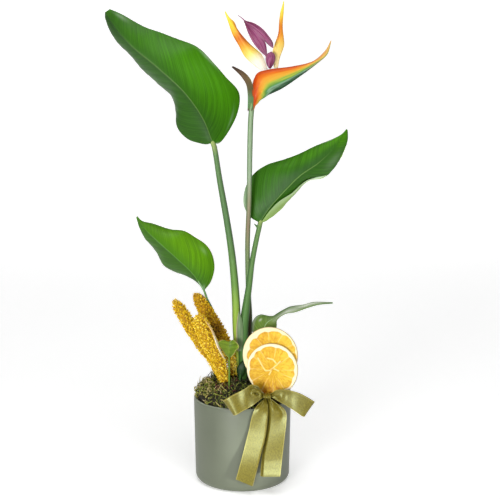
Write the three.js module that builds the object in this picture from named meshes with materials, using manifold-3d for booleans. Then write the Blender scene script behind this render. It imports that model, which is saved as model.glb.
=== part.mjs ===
// Potted bird of paradise, dressed with foxtail heads, dried orange slices and a satin bow.
// Millimetres, +Z up. The front is the -Y side, and the origin is the centre of the pot's underside.

import * as THREE from 'three';
import { mergeVertices } from 'three/addons/utils/BufferGeometryUtils.js';
import Module from 'manifold-3d';

const wasm = await Module();
wasm.setup();

// Driving dimensions

const GAP = 0.3; // what neighbours keep between them
const POT = { height: 113.5, topRadius: 65, footRadius: 63, wall: 4, floor: 6, footRounding: 9 };
const SOIL_TOP = 98;
const MOSS = { underside: SOIL_TOP + GAP, edge: 108, rise: 28, tuft: 1.8 };
const MOSS_DIP = { x: 24, y: -52, depth: 14, spread: 22 }; // where the bow sits
const STEM_FOOT = 74; // the height of the stems' feet, down in the soil
const HOLE_PLAY = 0.38; // how much wider than its stem a hole is, all round
const BLADE = { thickness: 0.9, rib: 1.6 };
const PETAL_THICKNESS = 1;
const RIBBON_THICKNESS = 0.7;
const SLICE = { thickness: 5, segments: 10, turn: 14, lean: 5 }; // turn and lean in degrees
const FOXTAIL = { sides: 12, rows: 36, stemRows: 3, stemRadius: 1.6, relief: 0.24 };
const PICK = { radius: 1.5, top: 200, x: 37, y: -31.6 };
const KNOT = {
  centre: [32, -55.5, 128.5],
  radii: [4.5, 4.1, 4.4],
  sides: 10,
  pleats: [0.8, 1, 0.9, 1, 0.9, 1, 0.8], // how far each ring of the band stands out
};
const BOW_BACK = 2; // the bow leans back against the front slice

const COLOURS = {
  pot: '#8b9382',
  soil: '#2e2620',
  moss: '#55521f',
  largeLeaf: '#3f7a22',
  rightLeaf: '#37701f',
  smallLeaf: '#5b9a22',
  twistedLeaf: '#5f8257',
  frontLeaf: '#6f9a3a',
  footLeaf: '#2f5b3a',
  stalk: '#6f9a63',
  flowerStalk: '#8aa27c',
  bract: '#6b7a58',
  spathe: '#d97a2c',
  sepal: '#f0b93c',
  petal: '#9c4f80',
  foxtail: '#cf9c1f',
  orange: '#e2a432',
  ribbon: '#a89c4a',
  wood: '#b08d5a',
};

// Helpers

const vector = (point) => new THREE.Vector3(...point);
const spline = (points) => new THREE.CatmullRomCurve3(points.map(vector), false, 'centripetal');

// The value of an evenly spaced list at t, from 0 to 1.
function listAt(values, t) {
  const place = t * (values.length - 1);
  const below = Math.min(Math.floor(place), values.length - 2);
  return THREE.MathUtils.lerp(values[below], values[below + 1], place - below);
}

// A geometry from points and triangles, turned inside out where its volume comes out negative.
function closedGeometry(points, faces) {
  let volume = 0;
  for (const [a, b, c] of faces) {
    volume += points[a].dot(new THREE.Vector3().crossVectors(points[b], points[c]));
  }
  const outward = volume > 0 ? faces : faces.map(([a, b, c]) => [a, c, b]);
  const geometry = new THREE.BufferGeometry().setFromPoints(points);
  geometry.setIndex(outward.flat());
  return geometry;
}

// A closed body through rings of equally many points, with a fan at each end. Where turned says so, a
// quad is split along its other diagonal.
function ringSolid(rings, turned = () => false) {
  const sides = rings[0].length;
  const points = rings.flat();
  const faces = [];
  for (let row = 0; row + 1 < rings.length; row++) {
    for (let side = 0; side < sides; side++) {
      const a = row * sides + side;
      const b = row * sides + ((side + 1) % sides);
      if (turned(row, side)) faces.push([a, b, a + sides], [b, b + sides, a + sides]);
      else faces.push([a, b, b + sides], [a, b + sides, a + sides]);
    }
  }
  for (const row of [0, rings.length - 1]) {
    const centre = new THREE.Vector3();
    rings[row].forEach((point) => centre.addScaledVector(point, 1 / sides));
    const middle = points.push(centre) - 1;
    for (let side = 0; side < sides; side++) {
      const a = row * sides + side;
      const b = row * sides + ((side + 1) % sides);
      faces.push(row === 0 ? [middle, b, a] : [middle, a, b]);
    }
  }
  return closedGeometry(points, faces);
}

function normalAt(grid, row, column) {
  const last = grid.length - 1;
  const end = grid[0].length - 1;
  const along = grid[Math.min(row + 1, last)][column].clone().sub(grid[Math.max(row - 1, 0)][column]);
  const across = grid[row][Math.min(column + 1, end)].clone().sub(grid[row][Math.max(column - 1, 0)]);
  return across.cross(along).normalize();
}

// A thin closed body on both sides of a grid of points, with triangles alike on its two faces.
function sheetSolid(grid, thicknessAt) {
  const rows = grid.length;
  const columns = grid[0].length;
  const count = rows * columns;
  const points = [];
  for (const side of [0.5, -0.5]) {
    grid.forEach((across, row) =>
      across.forEach((point, column) => {
        const normal = normalAt(grid, row, column);
        points.push(point.clone().addScaledVector(normal, side * thicknessAt(row, column)));
      }),
    );
  }
  const faces = [];
  for (let row = 0; row + 1 < rows; row++) {
    for (let column = 0; column + 1 < columns; column++) {
      const a = row * columns + column;
      const [b, c, d] = [a + 1, a + columns + 1, a + columns];
      faces.push([a, b, c], [a, c, d], [count + a, count + c, count + b], [count + a, count + d, count + c]);
    }
  }
  const border = [];
  for (let column = 0; column < columns - 1; column++) border.push(column);
  for (let row = 0; row < rows - 1; row++) border.push(row * columns + columns - 1);
  for (let column = columns - 1; column > 0; column--) border.push((rows - 1) * columns + column);
  for (let row = rows - 1; row > 0; row--) border.push(row * columns);
  border.forEach((a, place) => {
    const b = border[(place + 1) % border.length];
    faces.push([a, count + a, count + b], [a, count + b, b]);
  });
  return closedGeometry(points, faces);
}

// A leaf or petal between lines that run from its base to its tip. Each line after the first says how many
// columns lead to it and how far that panel arches towards the front. Waves grow towards the outer lines.
function blade({
  lines,
  rows,
  waves = 0,
  waveDepth = 0,
  thickness = BLADE.thickness,
  ridge = BLADE.rib,
}) {
  const rib = 1; // the line that the midrib follows
  const curves = lines.map(({ points }) => spline(points));
  const flat = [];
  const lift = [];
  let ribColumn = 0;
  for (let row = 0; row <= rows; row++) {
    const t = row / rows;
    const points = [curves[0].getPointAt(t)];
    const heights = [waveDepth * Math.sin(2 * Math.PI * waves * t)];
    lines.slice(1).forEach(({ columns, arch = 0 }, panel) => {
      const [from, to] = [curves[panel].getPointAt(t), curves[panel + 1].getPointAt(t)];
      for (let column = 1; column <= columns; column++) {
        const share = column / columns;
        const outward = panel < rib ? 1 - share : share;
        const wave = waveDepth * outward ** 2 * Math.sin(2 * Math.PI * waves * t + panel * 1.7);
        points.push(from.clone().lerp(to, share));
        heights.push(4 * arch * share * (1 - share) + wave);
      }
      if (panel + 1 === rib) ribColumn = points.length - 1;
    });
    flat.push(points);
    lift.push(heights);
  }
  const grid = flat.map((points, row) =>
    points.map((point, column) => {
      const fade = Math.sqrt(Math.sin(Math.PI * THREE.MathUtils.clamp(row / rows, 0.001, 0.999)));
      return point.clone().addScaledVector(normalAt(flat, row, column), lift[row][column] * fade);
    }),
  );
  return sheetSolid(grid, (row, column) => (column === ribColumn ? ridge : thickness));
}

// A stalk along a path, with its radii spaced evenly along it. A groove runs down the side at grooveAngle.
function stalk({ path, radii, rows = 14, sides = 10, groove = 0, grooveAngle = 0 }, grow = 0) {
  const course = spline(path);
  const rings = [];
  for (let row = 0; row <= rows; row++) {
    const t = row / rows;
    const along = course.getTangentAt(t);
    const centre = course.getPointAt(t);
    if (row === 0) centre.addScaledVector(along, -grow);
    if (row === rows) centre.addScaledVector(along, grow);
    const right = new THREE.Vector3(1, 0, 0).projectOnPlane(along).normalize();
    const back = along.clone().cross(right);
    const ring = [];
    for (let side = 0; side < sides; side++) {
      const angle = (2 * Math.PI * side) / sides;
      const off = Math.atan2(Math.sin(angle - grooveAngle), Math.cos(angle - grooveAngle));
      const radius = (listAt(radii, t) + grow) * (1 - groove * Math.exp(-((off / 0.6) ** 2)));
      ring.push(
        centre.clone()
          .addScaledVector(right, radius * Math.cos(angle))
          .addScaledVector(back, radius * Math.sin(angle)),
      );
    }
    rings.push(ring);
  }
  return ringSolid(rings);
}

function toSolid(geometry) {
  const bare = geometry.clone();
  bare.deleteAttribute('normal');
  bare.deleteAttribute('uv');
  const merged = mergeVertices(bare, 1e-4);
  return new wasm.Manifold(new wasm.Mesh({
    numProp: 3,
    vertProperties: new Float32Array(merged.attributes.position.array),
    triVerts: new Uint32Array(merged.index.array),
  }));
}

function toGeometry(solid) {
  const { vertProperties, triVerts } = solid.getMesh();
  const geometry = new THREE.BufferGeometry();
  geometry.setAttribute('position', new THREE.BufferAttribute(vertProperties, 3));
  geometry.setIndex(new THREE.BufferAttribute(triVerts, 1));
  return geometry;
}

const without = (body, cutters) =>
  toGeometry(cutters.reduce((rest, cutter) => rest.subtract(toSolid(cutter)), toSolid(body)));
const joined = (first, second) => toGeometry(toSolid(first).add(toSolid(second)));

const plant = new THREE.Group();

function add(name, geometry, colour, roughness = 0.5) {
  geometry.computeVertexNormals();
  const material = new THREE.MeshStandardMaterial({ color: colour, roughness, metalness: 0 });
  const mesh = new THREE.Mesh(geometry, material);
  mesh.name = name;
  plant.add(mesh);
  return mesh;
}

// Stems, each from its top down to its foot in the soil

const STEMS = {
  large_leaf_stalk: {
    path: [[-37.3, -0.3, 448.8], [-36, 0, 446], [-29, 1, 402], [-20, 1, 350], [-14, 0, 310], [-10, 0, 270],
      [-8, 0, 237], [-7, 1, 203], [-5, 2, 172], [-3, 3, 140], [-2, 3, STEM_FOOT]],
    radii: [3.5, 4, 4.4, 4.7, 5.2, 5.8, 5.8, 5.2, 4],
    groove: 0.22,
    grooveAngle: 0.3,
    rows: 17,
  },
  right_leaf_stalk: {
    path: [[23.6, 11.4, 344.8], [23, 11, 341], [18, 8, 320], [13, 4, 294], [9, 0, 264], [5, -4, 236],
      [2, -8, 211], [1, -11, 178], [1, -12, 146], [1, -12, STEM_FOOT]],
    radii: [3.2, 3.5, 3.6, 4.6, 6.2, 6.4, 6.2, 5, 4.5],
    groove: 0.2,
    grooveAngle: 2.6,
    rows: 17,
  },
  flower_stalk: {
    path: [[12, -2, 491], [11, -1, 478], [10, 0, 441], [9, 3, 376], [7, 9, 322], [7, 12, 292],
      [8, 13, 254], [10, 13, 214], [9, 13, 179], [8, 13, 142], [8, 13, STEM_FOOT]],
    radii: [4.1, 3.5, 3.2, 3.2, 3.2, 3.3, 3.4, 3.6, 3.6],
    rows: 18,
  },
  small_leaf_stalk: {
    path: [[-51, 8, 255], [-47, 13.5, 242], [-39, 19.5, 224], [-28, 21, 191], [-19, 20, 157],
      [-15, 17, 135], [-14, 17, STEM_FOOT]],
    radii: [1.3, 1.5, 1.7, 2, 2],
    sides: 8,
    rows: 12,
  },
  twisted_leaf_stalk: {
    path: [[22, 1, 179.8], [21, 0, 150], [20, 0, STEM_FOOT]],
    radii: [1.8, 2.2, 2.4],
    sides: 8,
    rows: 6,
  },
  front_leaf_stalk: {
    path: [[-17, -29.4, 171.4], [-17, -30, 158], [-17, -31, 144], [-17, -31, STEM_FOOT]],
    radii: [1, 1.2, 1.4, 1.5],
    sides: 8,
    rows: 8,
  },
  foot_leaf_stalk: {
    path: [[-3, -20.8, 141.3], [-3, -21, 128], [-3, -21, STEM_FOOT]],
    radii: [1.4, 1.6, 1.6],
    sides: 8,
    rows: 4,
  },
  wooden_pick: {
    path: [[PICK.x, PICK.y, PICK.top], [PICK.x, PICK.y, STEM_FOOT]],
    radii: [PICK.radius, PICK.radius],
    sides: 8,
    rows: 1,
  },
};
const STEM_COLOURS = { flower_stalk: COLOURS.flowerStalk, wooden_pick: COLOURS.wood };

// Foxtail heads: a path from the tip down into the soil, where the head ends, and its radius along it

const HEADS = {
  foxtail_left: {
    path: [[-90, 0, 243], [-80, -1, 227], [-67, -2, 206], [-53, -5, 186], [-40, -8, 168], [-31, -11, 151],
      [-27, -12, 138], [-27, -12, STEM_FOOT]],
    headShare: 0.68,
    radii: [2.5, 7.6, 9, 9.4, 9.2, 8.8, 7.4, 5.6, 3.4],
  },
  foxtail_middle: {
    path: [[-57, -30, 230], [-52, -29, 214], [-44, -28, 195], [-34, -27, 176], [-28, -26, 158],
      [-24, -25, 143], [-23, -25, STEM_FOOT]],
    headShare: 0.6,
    radii: [3, 8.6, 10.2, 11, 11.2, 10.4, 8.6, 6.6, 4.4],
  },
  foxtail_back: {
    path: [[-64, 12, 249], [-56, 11, 239], [-46, 9, 222], [-34, 5, 202], [-28, 3, 191], [-21, -1, 177],
      [-15, -5, 163], [-12.5, -6, 142], [-12, -6, STEM_FOOT]],
    headShare: 0.64,
    radii: [2.5, 8, 9.4, 9.6, 9.4, 8.8, 6.6, 4.4, 3.4],
  },
};

// A head of clustered grains: the clusters stand out in turn round the head, and move half a step each row.
// Grown, it is the smooth hole that the head and its stem stand in.
function foxtail({ path, headShare, radii }, grow = 0) {
  const course = spline(path);
  const headRows = FOXTAIL.rows - FOXTAIL.stemRows;
  const rings = [];
  for (let row = 0; row <= FOXTAIL.rows; row++) {
    const inHead = row <= headRows;
    const t = inHead
      ? (headShare * row) / headRows
      : THREE.MathUtils.lerp(headShare, 1, (row - headRows) / FOXTAIL.stemRows);
    const along = course.getTangentAt(t);
    const right = new THREE.Vector3(1, 0, 0).projectOnPlane(along).normalize();
    const back = along.clone().cross(right);
    const ring = [];
    for (let side = 0; side < FOXTAIL.sides; side++) {
      const angle = (2 * Math.PI * side) / FOXTAIL.sides;
      const sunk = (row + side) % 2 && !grow ? 1 - FOXTAIL.relief : 1;
      const radius = (inHead ? listAt(radii, row / headRows) * sunk : FOXTAIL.stemRadius) + grow;
      ring.push(
        course.getPointAt(t)
          .addScaledVector(along, row === FOXTAIL.rows ? grow : 0)
          .addScaledVector(right, radius * Math.cos(angle))
          .addScaledVector(back, radius * Math.sin(angle)),
      );
    }
    rings.push(ring);
  }
  return ringSolid(rings, (row, side) => (row + side) % 2 === 0);
}

// Pot, soil and moss

// A profile of radius and height, turned about the Z axis.
const upright = (profile) => new THREE.LatheGeometry(profile, 36).rotateX(Math.PI / 2);

function pot() {
  const { height, topRadius, footRadius, wall, floor, footRounding } = POT;
  const arc = (x, y, radius, from, to, steps) =>
    Array.from({ length: steps + 1 }, (_, step) => {
      const angle = THREE.MathUtils.degToRad(THREE.MathUtils.lerp(from, to, step / steps));
      return new THREE.Vector2(x + radius * Math.cos(angle), y + radius * Math.sin(angle));
    });
  const lip = wall / 2;
  const profile = [
    new THREE.Vector2(0, 0),
    ...arc(footRadius - footRounding, footRounding, footRounding, -90, 0, 3),
    ...arc(topRadius - lip, height - lip, lip, 0, 180, 3),
    ...arc(footRadius - wall - footRounding, floor + footRounding, footRounding, 0, -90, 2),
    new THREE.Vector2(0, floor),
  ];
  return upright(profile);
}

function soil() {
  const { topRadius, footRadius, wall, floor, footRounding, height } = POT;
  const innerTop = THREE.MathUtils.lerp(footRadius, topRadius, SOIL_TOP / height) - wall - 2 * GAP;
  const innerFoot = footRadius - wall - footRounding - GAP;
  const profile = [
    new THREE.Vector2(0, floor + GAP),
    new THREE.Vector2(innerFoot, floor + GAP),
    new THREE.Vector2(footRadius - wall - 2 * GAP, floor + footRounding),
    new THREE.Vector2(innerTop, SOIL_TOP),
    new THREE.Vector2(0, SOIL_TOP),
  ];
  return upright(profile);
}

// The moss mound's height: highest in the middle, lower behind the bow, with tufts raised all over it.
function mossHeight(x, y, tuft) {
  const out = Math.min(Math.hypot(x, y) / (POT.topRadius + 1), 1);
  const fromDip = Math.hypot(x - MOSS_DIP.x, y - MOSS_DIP.y) / MOSS_DIP.spread;
  const dip = MOSS_DIP.depth * Math.exp(-(fromDip ** 2));
  return MOSS.edge + MOSS.rise * (1 - out ** 4.5) - dip + tuft * (1 - 0.6 * out);
}

function moss() {
  const rings = [0.2, 0.4, 0.58, 0.74, 0.88, 1];
  const sectors = 30;
  const outer = POT.topRadius - POT.wall - 3 * GAP;
  const underRadius = outer - 3 * GAP;
  const points = [new THREE.Vector3(0, 0, mossHeight(0, 0, 0))];
  const faces = [];
  rings.forEach((share, ring) => {
    for (let sector = 0; sector < sectors; sector++) {
      const angle = (2 * Math.PI * (sector + (ring % 2) / 2)) / sectors;
      const [x, y] = [outer * share * Math.cos(angle), outer * share * Math.sin(angle)];
      const tuft = MOSS.tuft * (Math.sin(5 * angle + 21 * share) + Math.sin(11 * angle - 18 * share));
      points.push(new THREE.Vector3(x, y, mossHeight(x, y, tuft)));
    }
  });
  const at = (ring, sector) => 1 + ring * sectors + (sector % sectors);
  const under = points.push(new THREE.Vector3(0, 0, MOSS.underside)) - 1;
  for (let sector = 0; sector < sectors; sector++) {
    faces.push([0, at(0, sector), at(0, sector + 1)]);
    for (let ring = 0; ring + 1 < rings.length; ring++) {
      const [a, b] = [at(ring, sector), at(ring, sector + 1)];
      const [c, d] = [at(ring + 1, sector + 1), at(ring + 1, sector)];
      faces.push(ring % 2 ? [a, d, c] : [a, d, b], ring % 2 ? [a, c, b] : [b, d, c]);
    }
    const rim = points[at(rings.length - 1, sector)];
    points.push(new THREE.Vector3(rim.x, rim.y, 0).setLength(underRadius).setZ(MOSS.underside));
  }
  for (let sector = 0; sector < sectors; sector++) {
    const next = (sector + 1) % sectors;
    const [a, b] = [at(rings.length - 1, sector), at(rings.length - 1, next)];
    const [c, d] = [under + 1 + next, under + 1 + sector];
    faces.push([a, c, b], [a, d, c], [under, c, d]);
  }
  return closedGeometry(points, faces);
}

add('pot', pot(), COLOURS.pot, 0.45);
add('soil', soil(), COLOURS.soil, 0.95);
add('moss', moss(), COLOURS.moss, 0.95);

for (const [name, shape] of Object.entries(STEMS)) {
  add(name, stalk(shape), STEM_COLOURS[name] ?? COLOURS.stalk);
}
for (const [name, shape] of Object.entries(HEADS)) add(name, foxtail(shape), COLOURS.foxtail, 0.9);

// Leaves

const line = (points, columns, arch) => ({ points, columns, arch });

const LEAVES = {
  large_leaf_blade: {
    colour: COLOURS.largeLeaf,
    rows: 24,
    waves: 5,
    waveDepth: 1.2,
    lines: [
      line([[-40, 0, 450.4], [-46, 2, 448.6], [-56, 6, 450], [-72, 14, 455], [-84, 22, 469], [-88, 28, 489],
        [-93, 32, 512], [-112, 34, 526], [-128, 34, 543], [-149, 32, 565], [-172, 28, 594], [-177, 24, 610]]),
      line([[-38, -1, 450.8], [-50, -4, 481], [-72, -5, 513], [-106, -2, 545], [-139, 6, 572], [-159, 12, 593],
        [-176, 20, 617]], 5, 3),
      line([[-36, 0, 450.4], [-31, 2, 449.4], [-18, 10, 464], [-6, 17, 490], [-4, 19, 515], [-23, 20, 536],
        [-45, 19, 562], [-57, 18, 572], [-80, 18, 582], [-101, 17, 590], [-123, 17, 597], [-154, 18, 614],
        [-170, 20, 621]], 5, 4),
    ],
  },
  right_leaf_blade: {
    colour: COLOURS.rightLeaf,
    rows: 20,
    waves: 3,
    waveDepth: 0.8,
    lines: [
      line([[21, 13, 346], [11, 15, 352], [2, 19, 368], [4, 23, 390], [15, 24, 408], [32, 22, 420],
        [55, 20, 428], [74, 17, 435], [97, 15, 446], [118, 13, 455], [131, 12, 462], [136, 12, 468]]),
      line([[23, 12, 345.5], [36, 9, 365], [56, 7, 388], [76, 6, 408], [99, 6, 424], [121, 8, 445],
        [136.5, 12, 467]], 5, 3),
      line([[25, 12, 345.5], [31, 13, 347], [50, 17, 362], [70, 20, 383], [88, 22, 401], [107, 22, 404],
        [118, 20, 414], [130, 17, 431], [137, 13, 452], [137, 12, 466]], 4, 2),
      line([[25.5, 10, 346.5], [36, 5, 362], [48, 7, 372], [63, 13, 381], [81, 19, 397], [104, 20, 406],
        [116, 18, 415], [128, 15, 432], [135.5, 11, 452], [137, 10.5, 466]], 2, 1),
    ],
  },
  small_leaf_blade: {
    colour: COLOURS.smallLeaf,
    rows: 16,
    waves: 3,
    waveDepth: 0.7,
    lines: [
      line([[-52, 9, 257], [-60, 12, 266], [-74, 18, 272], [-90, 24, 277], [-106, 26, 287], [-115, 24, 303],
        [-122, 20, 315], [-129, 16, 324], [-136, 11, 339], [-138.5, 8, 351]]),
      line([[-51, 8, 256], [-66, 4, 279], [-85, 2, 298], [-108, 2, 319], [-126, 4, 336], [-139, 8, 353]], 4, 2),
      line([[-50, 8.5, 256], [-42, 10, 266], [-37, 14, 284], [-40, 17, 301], [-48, 19, 314], [-63, 19, 325],
        [-77, 18, 333], [-94, 17, 335], [-119, 14, 344], [-133, 11, 347], [-138, 8.5, 354]], 4, 3),
    ],
  },
  twisted_leaf_blade: {
    colour: COLOURS.twistedLeaf,
    rows: 18,
    ridge: 1.2,
    lines: [
      line([[21, 1, 181], [16, 5, 191], [13, 6, 203], [14, 7, 213], [18, 8, 219], [25, 9, 222], [31, 8, 219.5],
        [37, 4, 219], [50, 3, 227], [63, 2, 234], [80, 0, 237], [94, -2, 241], [119, -6, 241.5]]),
      line([[22, 1, 180.5], [25, -3, 192], [28, -5, 204], [32, -5, 213], [38, -3, 217], [48, -2, 222],
        [62, -1, 230.5], [80, -2, 234], [94, -3, 239], [119.5, -6, 240.8]], 3, 1.5),
      line([[23, 1, 181], [34, -2, 190], [44, -3, 201], [45.5, -4, 210], [46, -5, 217], [56, -5, 225],
        [71, -4, 228], [86, -4, 233.5], [101, -5, 238], [119, -6.5, 240]], 3, 1),
    ],
  },
  front_leaf_blade: {
    colour: COLOURS.frontLeaf,
    rows: 8,
    ridge: 1.2,
    lines: [
      line([[-18, -29, 172.5], [-22, -29, 177], [-27, -31, 185], [-32, -34, 193], [-29, -33, 196],
        [-25, -31, 197]]),
      line([[-17, -29.6, 172], [-17, -29.6, 178], [-17, -30, 184], [-17, -30, 190], [-17.5, -29, 194]], 3, -1),
      line([[-16, -29, 172.5], [-13, -30, 175], [-8, -34, 183], [-4, -37, 189], [-7, -34, 194],
        [-12, -30, 197]], 3, -1),
    ],
  },
  foot_leaf_blade: {
    colour: COLOURS.footLeaf,
    rows: 7,
    ridge: 1.2,
    lines: [
      line([[-4, -20.5, 142], [-6.5, -20, 149], [-7, -20, 156], [-3, -19.5, 163], [1, -19, 166]]),
      line([[-3, -21, 141.8], [-2.5, -21.5, 150], [-1, -21.5, 158], [1.5, -19.5, 166.5]], 2, 0.4),
      line([[-2, -20.5, 142], [2, -21.5, 148], [4, -22, 155], [4, -21, 162], [2, -20, 166]], 2, 0.4),
    ],
  },
};
for (const [name, shape] of Object.entries(LEAVES)) add(name, blade(shape), shape.colour, 0.4);

// Flower: bract, spathe, sepals and petals

function spathe() {
  const keel = spline([[15, -2, 491.5], [20, -2, 501], [33, -2, 511], [50, -2, 519], [74, -2, 535],
    [97, -2, 552], [109, -2, 563], [114, -2, 580]]);
  const top = spline([[14, -2, 492], [13.5, -2, 523], [19, -2, 539], [33, -2, 544], [64, -2, 548],
    [91, -2, 555], [106, -2, 568], [113, -2, 580.5]]);
  const halfWidth = [1.5, 6, 9, 9.5, 9, 8, 6.5, 5, 3.5, 2, 0.8];
  // A boat's section from keel to lips, as shares of the half width and of the height, with a groove on top.
  const side = [[0.45, 0.1], [0.8, 0.32], [1, 0.6], [0.85, 0.86], [0.35, 1]];
  const mirrored = side.map(([across, up]) => [-across, up]).reverse();
  const section = [[0, 0], ...side, [0, 0.9], ...mirrored];
  const rows = 14;
  const rings = [];
  for (let row = 0; row <= rows; row++) {
    const t = row / rows;
    const [low, high] = [keel.getPointAt(t), top.getPointAt(t)];
    rings.push(section.map(([across, up]) => {
      const point = low.clone().lerp(high, up);
      point.y += across * listAt(halfWidth, t);
      return point;
    }));
  }
  return ringSolid(rings);
}

const FLOWER = {
  bract: {
    colour: COLOURS.bract,
    rows: 10,
    thickness: 1,
    ridge: 1.3,
    lines: [
      line([[12, -6, 491.75], [13, -6.5, 505], [12, -8, 520], [8, -8, 533], [0, -5, 542], [-11, -2.5, 548]]),
      line([[7.8, -2, 491.75], [8, -2, 512], [6, -2, 525], [-1, -2, 536], [-13, -2, 547.5]], 3, 1.5),
      line([[12, 2, 491.75], [13, 2.5, 505], [12, 4, 520], [8, 4, 533], [0, 1, 542], [-11, -1.5, 548]], 3, 1.5),
    ],
  },
  sepal_left: {
    colour: COLOURS.sepal,
    rows: 12,
    thickness: PETAL_THICKNESS,
    ridge: 1.8,
    lines: [
      line([[23, 2, 543.7], [13, 5, 551], [3, 6, 561], [-4, 6, 574], [-12, 5, 588], [-17, 4, 602],
        [-22, 3, 616]]),
      line([[28, -1, 543.7], [18, -3, 559], [8, -3, 571], [0, -2, 583], [-7, 0, 594], [-14, 2, 604],
        [-21.5, 3, 617]], 3, 1.2),
      line([[33, 3, 544.2], [26, 5, 562], [11, 6, 575.5], [1, 6, 586], [-6, 6, 595], [-10, 5, 604],
        [-17, 4, 610], [-21, 3.5, 616.5]], 3, 0.6),
    ],
  },
  sepal_right: {
    colour: COLOURS.sepal,
    rows: 12,
    thickness: PETAL_THICKNESS,
    ridge: 1.8,
    lines: [
      line([[42.5, 4, 546], [40.5, 6, 569], [43.5, 7, 578], [46.5, 7, 590], [47.5, 7, 604], [49, 6, 616],
        [52.8, 5, 629]]),
      line([[44, 2, 546], [45, 1, 565], [49, 1, 578], [49.8, 2, 590], [50, 3, 604], [51.3, 4, 616],
        [53.2, 5, 630]], 2, 0.8),
      line([[45.5, 4, 546], [48, 6, 561], [53.8, 7, 576], [53, 7, 585], [51.8, 7, 598], [53, 6, 616],
        [53.7, 5, 629]], 2, 0.8),
    ],
  },
  short_petal: {
    colour: COLOURS.petal,
    rows: 8,
    thickness: PETAL_THICKNESS,
    ridge: 3,
    lines: [
      line([[34.5, -4, 545.3], [31, -4, 553], [31.3, -4, 560], [36.6, -4, 565.4]]),
      line([[35.5, -6, 545.3], [36, -8, 553], [37, -8, 559], [37.6, -5, 566]], 2, 0.6),
      line([[36.5, -4, 545.3], [40.4, -4, 552], [42.4, -4, 559], [38.6, -4, 565.4]], 2, 0.6),
    ],
  },
};

const arrowLobe = (outer, middle, inner) => blade({
  rows: 8,
  thickness: PETAL_THICKNESS,
  ridge: 1.8,
  lines: [line(outer), line(middle, 2, 0.5), line(inner, 2, 0.5)],
});

function arrowPetals() {
  const upper = arrowLobe(
    [[3, -6, 604], [11, -7, 597], [20, -7, 587.5], [28.5, -7, 579.5], [34, -7, 574], [38, -7.5, 571]],
    [[3.4, -6.4, 604.8], [13, -8.5, 600], [23, -9, 593], [31, -9, 584.5], [36, -9, 577.5], [39.2, -8, 571]],
    [[3.8, -6, 605], [16, -6, 601.5], [26, -6, 595], [34.6, -6.5, 585], [39.4, -6.5, 577], [39.6, -7, 571]],
  );
  const lower = arrowLobe(
    [[2.8, -6, 603.6], [8, -5, 589], [14.5, -5, 577], [21.5, -5, 568.5], [25.5, -5.5, 564.5], [29.5, -6, 561]],
    [[2.8, -6.4, 604.2], [11, -8.5, 591], [18.5, -9, 579.5], [25, -9, 570], [28, -8, 565], [31, -6.6, 560]],
    [[3.2, -6, 604.8], [14, -7.5, 595], [23, -8, 585.5], [29.5, -8, 578], [31.5, -7, 570], [32, -6, 560.5]],
  );
  const thread = stalk({
    path: [[-5, -6, 611.5], [0, -6, 608], [6, -6.6, 602]],
    radii: [0.6, 0.9],
    sides: 6,
    rows: 3,
  });
  return joined(joined(upper, lower), thread);
}

add('spathe', spathe(), COLOURS.spathe, 0.45);
for (const [name, shape] of Object.entries(FLOWER)) add(name, blade(shape), shape.colour, 0.45);
add('arrow_petals', arrowPetals(), COLOURS.petal, 0.55);

// Dried orange slices on their pick

// The slice faces -Y. Each ring of points gives its radius and the slice's half thickness there.
function orangeSlice(radius, warp) {
  const half = SLICE.thickness / 2;
  const around = 3 * SLICE.segments;
  const rings = [
    { radius: 3, half: half * 0.75, membrane: half * 0.9 },
    { radius: radius * 0.5, half: half * 0.6, membrane: half * 0.9 },
    { radius: radius - 4.5, half: half * 0.75, membrane: half * 0.9 },
    { radius: radius - 3, half: half * 0.95, membrane: half * 0.95 },
    { radius: radius - 0.8, half: half * 0.8, membrane: half * 0.8 },
    { radius, half: 0, membrane: 0 },
  ];
  const points = [];
  const place = (ring, spoke, side) => {
    const angle = (2 * Math.PI * spoke) / around;
    const depth = side * (spoke % 3 ? ring.half : ring.membrane);
    const bend = warp * Math.sin(2 * angle) * (ring.radius / radius) ** 2;
    return new THREE.Vector3(ring.radius * Math.cos(angle), depth + bend, ring.radius * Math.sin(angle));
  };
  const path = [...rings.map((ring) => [ring, -1]), ...rings.slice(0, -1).reverse().map((ring) => [ring, 1])];
  for (const [ring, side] of path) {
    for (let spoke = 0; spoke < around; spoke++) points.push(place(ring, spoke, side));
  }
  return ringSolid(path.map((_, row) => points.slice(row * around, (row + 1) * around)));
}

function addSlice(name, radius, position, warp) {
  const mesh = add(name, orangeSlice(radius, warp), COLOURS.orange, 0.5);
  mesh.position.set(...position);
  mesh.rotation.order = 'ZXY';
  mesh.rotation.set(THREE.MathUtils.degToRad(-SLICE.lean), 0, THREE.MathUtils.degToRad(-SLICE.turn));
}

addSlice('orange_slice_front', 34, [39, -45, 161], 0.5);
addSlice('orange_slice_back', 36.8, [36.4, -37, 178], 0.3);

// Bow of satin ribbon

// A ribbon between its two edges.
const ribbon = (edge, otherEdge, rows) => blade({
  rows,
  thickness: RIBBON_THICKNESS,
  ridge: RIBBON_THICKNESS,
  lines: [line(edge), line(otherEdge, 2, 0)],
});

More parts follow.
